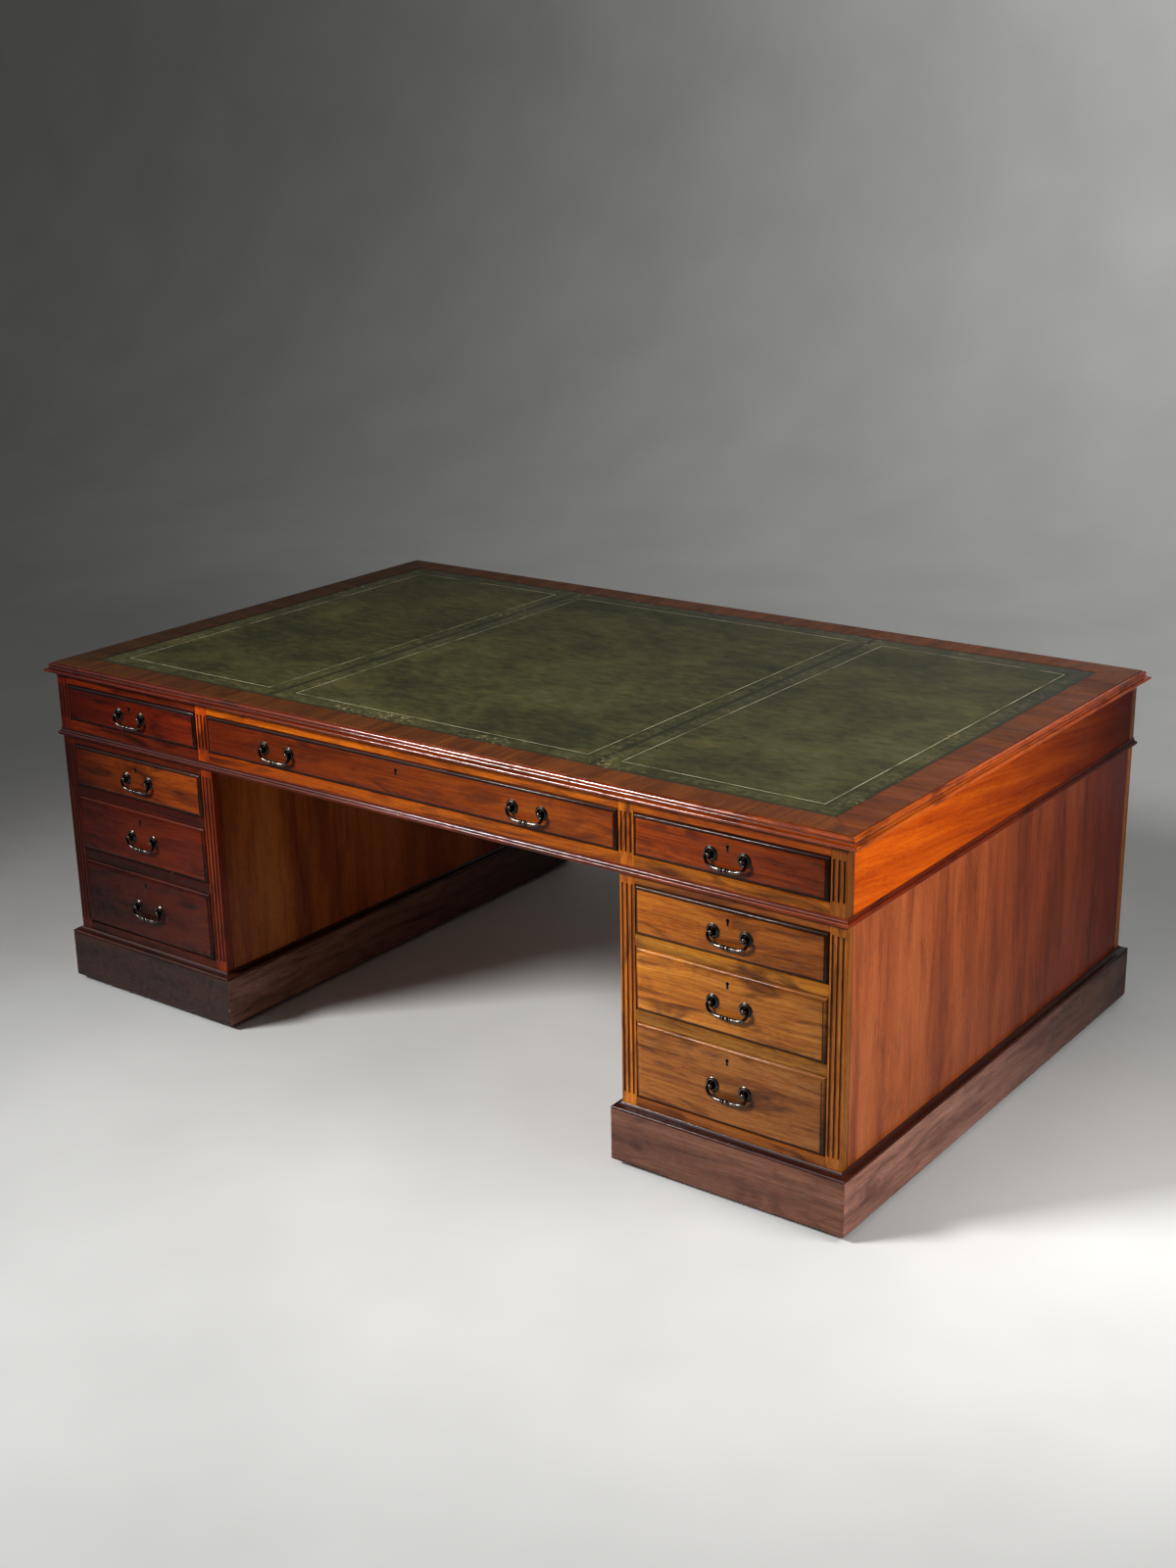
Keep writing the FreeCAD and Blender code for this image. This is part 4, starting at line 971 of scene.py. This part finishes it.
def keyholeOutline(grow, y):
    radius, half = 2.7 * mm + grow, 1.4 * mm + grow
    shoulder = math.acos(half / radius)
    turn = (math.pi + 2 * shoulder) / 14
    points = [(-half, y, -10 * mm - grow), (half, y, -10 * mm - grow)]
    return points + [(radius * math.cos(count * turn - shoulder), y,
                      radius * math.sin(count * turn - shoulder)) for count in range(15)]


def makeEscutcheon():
    # its centre is the head of the keyhole
    ring = addOutline(keyholeOutline(1.3 * mm, -0.2 * mm), (0, 4 * mm, 0))
    cut(ring, addOutline(keyholeOutline(0, -1 * mm), (0, 8 * mm, 0)))
    edit(ring, "EDGE")
    pick(ring, "edges", lambda e: all(v.co.y < -0.1 * mm for v in e.verts))
    bpy.ops.mesh.bevel(offset=0.2 * mm, segments=2, affect="EDGES")
    leave()
    grade(ring, "x", None, lambda spot: 0.6)
    return ring


post = makePost()
bailPattern = makeBail()
escutcheon = makeEscutcheon()
print("handles made")


# ---- drawers, made facing the front, with the frame's face at y = 0 and the lower edge at z = 0
drawer = {"front": 22 * mm, "projection": 5 * mm, "ovolo": 8 * mm, "step": 1.5 * mm, "lining": 12 * mm,
          "floor": (8 * mm, 16 * mm), "groove": 6 * mm, "lap": 9 * mm, "pitch": 44 * mm, "pin": 6 * mm,
          "sideGap": 1 * mm, "clearance": 1.5 * mm, "runGap": 0.3 * mm, "sideDrop": 4 * mm,
          "keyDrop": 23 * mm, "lock": (44 * mm, 12 * mm), "arris": 0.3 * mm, "slope": 6}


def addDovetailedSide(half, turn, height, depth):
    tails = max(2, round(height / drawer["pitch"]))
    pitch = height / tails
    tip = (pitch - drawer["pin"]) / 2
    root = tip - (drawer["front"] - drawer["lap"]) / drawer["slope"]
    path = [(depth, 0), (drawer["front"], 0)]
    for count in range(tails):
        middle = (count + 0.5) * pitch
        path += [(drawer["front"], middle - root), (drawer["lap"], middle - tip),
                 (drawer["lap"], middle + tip), (drawer["front"], middle + root)]
    path += [(drawer["front"], height), (depth, height)]
    return addOutline([(turn * half, y, z) for y, z in path], (-turn * drawer["lining"], 0, 0))


def addMouldedFront(width, height):
    # the ovolo springs from inside the opening and dies into a step below the field
    spring = drawer["ovolo"] + drawer["step"] - drawer["projection"]
    front = addBox((0, (spring + drawer["front"]) / 2, height / 2), (width, drawer["front"] - spring, height))
    edit(front, "FACE")
    pick(front, "faces", lambda face: face.normal.y < -0.99)
    steps = 7
    radius = drawer["ovolo"]
    turns = [math.pi / 2 * step / steps for step in range(steps + 1)]
    for a, b in zip(turns, turns[1:]):
        bpy.ops.mesh.inset(thickness=radius * (math.cos(a) - math.cos(b)),
                           depth=radius * (math.sin(b) - math.sin(a)))
    bpy.ops.mesh.extrude_region_move(TRANSFORM_OT_translate={"value": (0, -(drawer["step"] - 0.5 * mm), 0)})
    for inward, up in ((0.12, 0.3), (0.4, 0.2)):
        bpy.ops.mesh.inset(thickness=inward * mm, depth=up * mm)
    bpy.ops.mesh.inset(thickness=6 * mm, depth=0)
    leave()
    return front


def makeDrawer(opening, openingHeight, depth, handles):
    width = opening - 2 * drawer["sideGap"]
    height = openingHeight - drawer["clearance"]
    half = width / 2
    sideHeight = height - drawer["sideDrop"]
    floorLow, floorTop = drawer["floor"]
    sides = [addDovetailedSide(half, turn, sideHeight, depth) for turn in (-1, 1)]
    bottomBox = ((-half + drawer["groove"], drawer["front"] - drawer["groove"], floorLow),
                 (half - drawer["groove"], depth, floorTop))
    bottom = addBoard(*bottomBox, "x", None, drawer["arris"])
    front = addMouldedFront(width, height)
    lockWidth, lockDepth = drawer["lock"]
    lockBox = ((-lockWidth / 2, drawer["front"] - lockDepth, height - lockWidth),
               (lockWidth / 2, drawer["front"], height))
    lock = addBoard(*lockBox, "x", None, drawer["arris"])
    key = addOutline([(x, y, z + height - drawer["keyDrop"]) for x, y, z in
                      keyholeOutline(0.9 * mm, -drawer["projection"] - 1 * mm)], (0, 26 * mm, 0))
    for cutter in sides + [bottom, lock]:
        cut(front, copied(cutter))
    cut(front, key)
    crest = drawer["ovolo"]

    # the sides, the lower edge, the quirk below the crest and the part inside the opening are darkened with
    # painted shade
    def frontWearAndShade(spot):
        rim = min(half - abs(spot.x), spot.z, height - spot.z)
        if spot.y > 8 * mm or rim > crest + 3 * mm:
            return 0.0
        if spot.y < -drawer["projection"] + 0.3 * mm:
            return 0.5
        if spot.y > 3 * mm:
            return -0.9
        if rim == half - abs(spot.x):
            return -0.92    # the sides are darkened most, with painted shade
        upper = spot.z > height / 2
        if abs(rim - crest) < 0.6 * mm:
            return -0.35 if upper else -0.7
        return 0.0 if upper else -0.5
    grade(front, "x", None, frontWearAndShade, Vector((0.0, 0.0, 0.0)))

    for side in sides:
        cut(side, copied(bottom))
        edit(side, "EDGE")
        pick(side, "edges", lambda e: all(v.co.y < drawer["front"] + mm for v in e.verts))
        bpy.ops.mesh.bevel(offset=0.15 * mm, segments=1, affect="EDGES")
        leave()
        grade(side, "y")
    back = addBoard((-half + drawer["lining"], depth - drawer["lining"], floorTop),
                    (half - drawer["lining"], depth, sideHeight - drawer["sideDrop"]), "x")
    linings = joined(sides + [back, bottom])

    keyZ = height - drawer["keyDrop"]
    fittings = [copied(escutcheon, (0, -drawer["projection"], keyZ))]
    for x in handles:
        for turn in (-1, 1):
            fittings.append(copied(post, (x + turn * handle["spacing"] / 2, -drawer["projection"],
                                          height / 2)))
            # nut and thread end of the post, inside the drawer
            nut = addTurned([(0, drawer["front"], 0), (4.6 * mm, drawer["front"], 0),
                             (4.6 * mm, drawer["front"] + 2 * mm, 0),
                             (4.0 * mm, drawer["front"] + 2.8 * mm, 0),
                             (1.9 * mm, drawer["front"] + 2.8 * mm, 0),
                             (1.7 * mm, drawer["front"] + 4.6 * mm, 0), (0, drawer["front"] + 4.8 * mm, 0)],
                            "y", 6)
            grade(nut, "x")
            fittings.append(copied(nut, (x + turn * handle["spacing"] / 2, 0, height / 2)))
            bpy.data.objects.remove(nut)
    bolt = addBoard((-9 * mm, drawer["front"] - 8 * mm, height - 0.5 * mm),
                    (9 * mm, drawer["front"] - 4 * mm, height + 0.6 * mm), "x", None, drawer["arris"])
    cut(lock, copied(bolt))
    grade(lock, "x", None, boxWear(*lockBox))
    return {"front": front, "linings": linings, "fittings": joined(fittings), "lock": joined([lock, bolt]),
            "height": height}


# width and height of the opening, depth of the drawer, and where its handles stand
kinds = {
    "friezeSide": (openWidth, 86 * mm, 605 * mm, (0,)),
    "friezeCentre": (2 * desk["kneehole"], 86 * mm, 605 * mm, (-332 * mm, 332 * mm))}
for kind, height in zip(("top", "middle", "bottom"), drawerHeights):
    kinds[kind] = (openWidth, height, 607 * mm, (4 * mm,))


def placeDrawer(made, node, x, y, z, facing, handles, bails, stain):
    turn = math.pi if facing > 0 else 0.0
    shift = [random.uniform(-6, 6) for _ in range(3)]
    for part, material, slot in (("front", polishedMahogany, "polished_mahogany"),
                                 ("linings", drawerLining, "carcass_wood"),
                                 ("fittings", agedBrass, "aged_brass"), ("lock", lockBrass, "aged_brass")):
        piece = copied(made[part], (x, y, z), turn)
        if part == "front":
            grain = piece.data.attributes["grain"]
            values = [0.0] * (3 * len(grain.data))
            grain.data.foreach_get("vector", values)
            grain.data.foreach_set("vector", [value + shift[index % 3] for index, value in enumerate(values)])
            spots = [piece.data.vertices[loop.vertex_index].co for loop in piece.data.loops]
            tint = toneAndLightRamp(0, min(spot.x for spot in spots), max(spot.x for spot in spots), *stain)
            piece.data.attributes["stain"].data.foreach_set("color",
                                                            [c for spot in spots for c in tint(spot, None)])
        finish(piece, node + "." + part, material, node, slot, [node] if part == "front" else ())
    for handleX, bailNode in zip(handles, bails):
        sign = -1 if facing > 0 else 1
        bail = copied(bailPattern,
                      (x + sign * handleX, y + facing * drawer["projection"], z + made["height"] / 2), turn)
        finish(bail, bailNode, agedBrass, bailNode, "aged_brass", [bailNode])
        bail.name = bailNode + ".bail"


# each front's tint runs from its left end to its right end; it carries painted light as well as the wood's
# tone, darkest on the left pedestal
frontStainsWithPaintedLight = {"frieze": {"left": ("#471503", "#8e4808"), "centre": ("#764205", "#a57e34"),
                          "right": ("#aa741d", "#784e19")},
               "left": (("#461e04", "#b88809"), ("#4e1d03", "#844a12"), ("#3b180c", "#63381f")),
               "right": (("#cbb982", "#998778"), ("#e2dfc3", "#aeaeb6"), ("#bfbfd2", "#9b9dcb"))}


def makeDrawers():
    patterns = {kind: makeDrawer(*sizes) for kind, sizes in kinds.items()}
    z = desk["friezeOpen"][0] + drawer["runGap"]
    for facing, faceName in ((-1, "front"), (1, "back")):
        y = facing * desk["halfFrieze"]
        for place, x in (("left", -openCentre), ("centre", 0), ("right", openCentre)):
            node = "frieze_%s_%s" % (faceName, place)
            kind = "friezeCentre" if place == "centre" else "friezeSide"
            handles = kinds[kind][3]
            bails = [node + ending + "_bail"
                     for ending in (("_left", "_right") if place == "centre" else ("",))]
            placeDrawer(patterns[kind], node + "_drawer", x, y, z, facing,
                        [-facing * h for h in handles] if facing > 0 else handles, bails,
                        frontStainsWithPaintedLight["frieze"][place])
    for side, sideName in ((-1, "left"), (1, "right")):
        for level, kind in enumerate(("top", "middle", "bottom")):
            node = "%s_pedestal_%s" % (sideName, kind)
            placeDrawer(patterns[kind], node + "_drawer", side * openCentre, -desk["halfPedestal"],
                        levelSpan(level)[0] + drawer["runGap"], -1, kinds[kind][3], [node + "_bail"],
                        frontStainsWithPaintedLight[sideName][level])
    for made in patterns.values():
        for part in ("front", "linings", "fittings", "lock"):
            bpy.data.objects.remove(made[part])


makeDrawers()
for pattern in (post, bailPattern):
    bpy.data.objects.remove(pattern)
print("drawers made")


# ---- cupboard doors on the back
door = {"thickness": 20 * mm, "stile": 55 * mm, "bottomRail": 70 * mm, "panel": 8 * mm, "ovolo": 6 * mm,
        "hingeGap": 2.8 * mm, "gap": 1.2 * mm, "lock": 22 * mm}
hinge = {"fromLow": 70 * mm, "fromHigh": 130 * mm, "out": 4.2 * mm, "third": 20 * mm, "leaf": 17 * mm,
         "thick": 1.2 * mm, "slack": 0.3 * mm, "radius": 3.6 * mm, "end": 3.1 * mm, "arris": 0.1 * mm}


def makeDoor(side, sideName):
    hingeEdge = openOuter - door["hingeGap"]
    freeEdge = openInner + drawer["sideGap"]
    face = desk["halfPedestal"]
    back = face - door["thickness"]
    low, high = desk["pedestalOpen"][0] + door["gap"], desk["pedestalOpen"][1] - door["gap"]
    panelLeft, panelRight = freeEdge + door["stile"], hingeEdge - door["stile"]
    panelLow, panelHigh = low + door["bottomRail"], high - door["stile"]
    cove = door["ovolo"]

    def across(a, b, y0, y1, z0, z1, run):
        return addBoard((side * a, y0, z0), (side * b, y1, z1), run, stainsWithPaintedLight["door"])
    body = sideName + "_cupboard_door"
    boards = [across(freeEdge, panelLeft - cove, back, face, low, high, "z"),
              across(panelRight + cove, hingeEdge, back, face, low, high, "z"),
              across(panelLeft - cove, panelRight + cove, back, face, low, panelLow - cove, "x"),
              across(panelLeft - cove, panelRight + cove, back, face, panelHigh + cove, high, "x")]
    panelBack = (face + back - door["panel"]) / 2
    boards.append(across(panelLeft - 6 * mm, panelRight + 6 * mm, panelBack, panelBack + door["panel"],
                         panelLow - 6 * mm, panelHigh + 6 * mm, "z"))
    keyZ = (low + high) / 2
    keyX = side * (freeEdge + 22 * mm)
    cut(boards[0], addOutline([(keyX + x, y, keyZ + z) for x, y, z in
                               keyholeOutline(0.9 * mm, face + 1 * mm)], (0, -30 * mm, 0)))
    left, right = sorted((side * freeEdge, side * (panelLeft - cove)))
    grade(boards[0], "z", stainsWithPaintedLight["door"], boxWear((left, back, low), (right, face, high)))
    # the ovolo stuck on the inner edges of the frame, made flat and stood up
    halfX, halfZ = (panelRight - panelLeft) / 2, (panelHigh - panelLow) / 2
    inside = panelBack + door["panel"] - face
    profile = [(cove, 0.0, 0.6)]
    profile += [(cove - cove * math.sin(a), cove * math.cos(a) - cove, 0.0)
                for a in [math.pi / 2 * step / 6 for step in range(1, 7)]]
    # the corner against the panel is darkened with painted shade
    profile += [(0.0, inside, -0.7), (0.0, back - face, 0.0), (cove, back - face, 0.0)]
    ring = addRing(halfX, halfZ, 0, profile)
    grade(ring, ringRun(halfX, halfZ, 0), stainsWithPaintedLight["door"], ringWearAndShade(halfX, halfZ, 0, profile))
    ring.data.transform(Matrix.Translation((side * (panelLeft + panelRight) / 2, face,
                                            (panelLow + panelHigh) / 2))
                        @ Matrix.Rotation(-math.pi / 2, 4, "X"))
    boards.append(ring)
    finish(joined(boards), sideName + "CupboardDoor", polishedMahogany, body, "polished_mahogany", [body])

    shield = copied(escutcheon, (keyX, face, keyZ), math.pi)
    lock = addBoard((side * freeEdge, back - 1 * mm, keyZ - door["lock"]),
                    (side * (freeEdge + 2 * door["lock"]), back, keyZ + door["lock"]),
                    "x", None, drawer["arris"])
    halves = [shield, lock]
    fixed = []
    third, slack, thick = hinge["third"], hinge["slack"], hinge["thick"]
    openLow, openHigh = desk["pedestalOpen"]
    for hingeLow in (openLow + hinge["fromLow"], openHigh - hinge["fromHigh"]):
        axisX = side * (openOuter - door["hingeGap"] / 2)
        axisY = face + hinge["out"]
        for spans, leafX, leafEnd, group in (
                (((0, third), (2 * third, 3 * third)), openOuter, openOuter - thick, fixed),
                (((third + slack, 2 * third - slack),), hingeEdge, hingeEdge + thick, halves)):
            leaf = addBoard((side * leafX, face - hinge["leaf"], hingeLow),
                            (side * leafEnd, face, hingeLow + 3 * third), "z", None, hinge["arris"])
            group.append(leaf)
            for start, end in spans:
                a, b = hingeLow + start, hingeLow + end
                knuckle = addTurned([(0, 0, a), (hinge["end"], 0, a), (hinge["radius"], 0, a + 0.5 * mm),
                                     (hinge["radius"], 0, b - 0.5 * mm), (hinge["end"], 0, b), (0, 0, b)],
                                    "z", 24)
                knuckle.data.transform(Matrix.Translation((axisX, axisY, 0)))
                grade(knuckle, "z")
                web = addBoard((side * leafX, face - 0.5 * mm, a), (side * leafEnd, axisY, b), "z", None,
                               hinge["arris"])
                group += [knuckle, web]
    finish(joined(halves), sideName + "DoorBrass", lockBrass, body, "aged_brass")
    return fixed


hinges = makeDoor(-1, "left") + makeDoor(1, "right")
finish(joined(hinges), "hingeLeaves", lockBrass, "carcass", "aged_brass", ["hinge_leaves"])
bpy.data.objects.remove(escutcheon)
print("doors made")


# ---- castors
castor = {"wheel": 18 * mm, "trail": 12 * mm, "fromBoard": 50 * mm, "plate": 3 * mm, "screwFrom": 18 * mm}


def makeCastors():
    wheelRadius, trail = castor["wheel"], castor["trail"]
    tread = [(-6.5, 0), (-6.5, 4.5), (-4.2, 5.2), (-4.0, 13.6), (-6.0, 15.4), (-6.2, 17.2), (-5.2, 18.0),
             (5.2, 18.0), (6.2, 17.2), (6.0, 15.4), (4.0, 13.6), (4.2, 5.2), (6.5, 4.5), (6.5, 0)]
    wheel = addTurned([(x * mm, 0, r * mm) for x, r in tread], "x", 40)
    grade(wheel, "x", None, lambda spot: 0.5 if math.hypot(spot.y, spot.z) > 17 * mm else 0.0)
    high = desk["castor"] - castor["plate"] - 0.3 * mm
    low = high - 3 * mm
    arms = []
    for turn in (-1, 1):
        x = turn * 7.5 * mm
        path = [(-9 * mm, high), (9 * mm, high), (trail + 6 * mm, wheelRadius)]
        path += [(trail + 6 * mm * math.cos(a), wheelRadius - 6 * mm * math.sin(a))
                 for a in [math.pi * step / 8 for step in range(1, 8)]]
        path += [(trail - 6 * mm, wheelRadius)]
        arms.append(addOutline([(x, y, z) for y, z in path], (turn * 2.5 * mm, 0, 0)))
    for arm in arms:
        edit(arm, "EDGE", "SELECT")
        bpy.ops.mesh.bevel(offset=0.4 * mm, segments=2, affect="EDGES")
        leave()
        grade(arm, "z")
    crown = addTurned([(0, 0, low), (12.2 * mm, 0, low), (13 * mm, 0, low + 0.8 * mm),
                       (13 * mm, 0, high - 0.8 * mm), (12.2 * mm, 0, high), (0, 0, high)], "z", 32)
    grade(crown, "z")
    axle = addTurned([(-10 * mm, 0, 0), (-10.9 * mm, 0, 1.8 * mm), (-10 * mm, 0, 3.2 * mm),
                      (-10 * mm, 0, 2.4 * mm), (10 * mm, 0, 2.4 * mm),
                      (10 * mm, 0, 3.2 * mm), (10.9 * mm, 0, 1.8 * mm), (10 * mm, 0, 0)], "x", 20)
    axle.data.transform(Matrix.Translation((0, trail, wheelRadius)))
    grade(axle, "x")
    fork = joined(arms + [crown, axle])
    plateTop = desk["castor"]
    plate = addBoard((-23 * mm, -23 * mm, plateTop - castor["plate"]), (23 * mm, 23 * mm, plateTop), "x",
                     None, 0.6 * mm)
    pin = addTurned([(0, 0, plateTop - 2.9 * mm), (4 * mm, 0, plateTop - 2.9 * mm),
                     (4 * mm, 0, low - 0.3 * mm), (6 * mm, 0, low - 0.3 * mm),
                     (5.4 * mm, 0, low - 1.7 * mm), (3 * mm, 0, low - 2.3 * mm), (0, 0, low - 2.4 * mm)],
                    "z", 24)
    grade(pin, "z")
    screws = []
    for turnX in (-1, 1):
        for turnY in (-1, 1):
            screw = addTurned([(0, 0, 0), (3.4 * mm, 0, 0), (2.6 * mm, 0, -1.0 * mm), (0, 0, -1.4 * mm)],
                              "z", 16)
            screw.data.transform(Matrix.Translation((turnX * castor["screwFrom"],
                                                     turnY * castor["screwFrom"],
                                                     plateTop - castor["plate"])))
            grade(screw, "z")
            screws.append(screw)
    plate = joined([plate, pin] + screws)

    plates = []
    middle = (desk["kneehole"] + desk["halfLength"]) / 2
    fromSide = base["out"] - base["thick"] - castor["fromBoard"]
    acrossBy = (desk["halfLength"] - desk["kneehole"]) / 2 + fromSide
    alongBy = desk["halfPedestal"] + fromSide
    for side, sideName in ((-1, "left"), (1, "right")):
        for end, endName in ((-1, "front"), (1, "back")):
            for way, wayName in ((-1, "inner"), (1, "outer")):
                name = "_".join((sideName, endName, wayName))
                x, y = side * (middle + way * acrossBy), end * alongBy
                turn = math.pi if end > 0 else 0.0
                for part, pattern, place, angle in (("Fork", fork, (x, y, 0), turn),
                                                    ("Wheel", wheel, (x, y - end * trail, wheelRadius), 0.0)):
                    node = "castor_%s_%s" % (part.lower(), name)
                    finish(copied(pattern, place, angle), "castor%s.%s" % (part, name), castorIron, node,
                           "aged_brass", [node])
                plates.append(copied(plate, (x, y, 0)))
    finish(joined(plates), "castorPlates", castorIron, "carcass", "aged_brass", ["castor_plates"])
    for pattern in (fork, wheel, plate):
        bpy.data.objects.remove(pattern)


makeCastors()
print("castors made")

# nodes that keep their own mesh
for name in ("top_board", "frieze_partitions"):
    for slotOfNode in nodes[name].material_slots:
        slotOfNode.material = innerWood
    if not nodes[name].material_slots:
        nodes[name].data.materials.append(innerWood)


# ---- stage, lamps and camera
studio = {"floor": (30, 14, 1), "centre": (0, -1, 0), "wall": 9, "sweep": 2.2}


def makeStage():
    deselect()
    bpy.ops.mesh.primitive_plane_add(size=1, location=(0, 0, 0))
    floor = bpy.context.object
    floor.scale = studio["floor"]
    floor.location = studio["centre"]
    applied()
    edit(floor, "EDGE")
    pick(floor, "edges", lambda e: all(v.co.y > 5 for v in e.verts))
    bpy.ops.mesh.extrude_edges_move(TRANSFORM_OT_translate={"value": (0, 0, studio["wall"])})
    pick(floor, "edges", lambda e: all(v.co.y > 5 and v.co.z < 1 for v in e.verts))
    bpy.ops.mesh.bevel(offset=studio["sweep"], segments=16, affect="EDGES")
    leave()
    activate(floor)
    bpy.ops.object.shade_smooth()
    floor.name = "studioFloor"
    material, tree = newMaterial("paperMattePale")
    place = addNode(tree, "TexCoord").outputs["Object"]
    specks = addNode(tree, "TexNoise", {"Scale": 2.0, "Detail": 3.0}, {"Vector": place})
    colour = addNode(tree, "ValToRGB", {"stops": ((0.3, "#b5b5b3"), (0.7, "#bebebc"))},
                     {0: specks.outputs["Fac"]})
    shader = addNode(tree, "BsdfPrincipled", {"Roughness": 0.55}, {"Base Color": colour.outputs[0]})
    addNode(tree, "OutputMaterial", {}, {0: shader.outputs[0]})
    floor.data.materials.append(material)


def addLamp(name, place, target, size, power, spread):
    lamp = bpy.data.lights.new(name, "AREA")
    lamp.shape = "RECTANGLE"
    lamp.size, lamp.size_y = size
    lamp.energy = power
    lamp.spread = math.radians(spread)
    obj = bpy.data.objects.new(name, lamp)
    obj.location = place
    obj.rotation_euler = (Vector(target) - Vector(place)).to_track_quat("-Z", "Y").to_euler()
    bpy.context.scene.collection.objects.link(obj)


def makeLight():
    world = bpy.data.worlds.new("studio")
    world.use_nodes = True
    world.node_tree.nodes["Background"].inputs[0].default_value = linear("#9a9a9a")
    world.node_tree.nodes["Background"].inputs[1].default_value = 0.34
    bpy.context.scene.world = world
    addLamp("keyFrontLeft", (-3.2, -4.6, 3.8), (1.0, -0.6, 0.45), (1.8, 1.2), 80, 52)
    addLamp("sideRight", (1.98, -0.38, 1.05), (1.03, -0.1, 0.45), (0.6, 0.6), 15, 170)
    addLamp("overhead", (0.9, -0.2, 3.6), (0.6, -0.3, 0.5), (2.2, 1.4), 11, 120)
    addLamp("backdropWash", (0.0, 2.6, 4.8), (0.0, 6.0, 2.6), (4.0, 1.0), 112, 140)


view = {"lens": 47.02, "sensor": 36, "place": (2.6295, -3.5040, 1.9821),
        "turns": ((36.83, "Z"), (-18.65, "X"), (1.04, "Y"), (90, "X"))}    # in degrees


def makeCamera():
    camera = bpy.data.objects.new("camera", bpy.data.cameras.new("camera"))
    bpy.context.scene.collection.objects.link(camera)
    camera.data.lens = view["lens"]
    camera.data.sensor_width = view["sensor"]
    camera.data.clip_end = 60
    pose = Matrix.Translation(view["place"])
    for angle, axis in view["turns"]:
        pose = pose @ Matrix.Rotation(math.radians(angle), 4, axis)
    camera.matrix_world = pose
    bpy.context.scene.camera = camera


makeStage()
makeLight()
makeCamera()
bpy.context.scene.view_settings.view_transform = "Standard"
print("stage made")
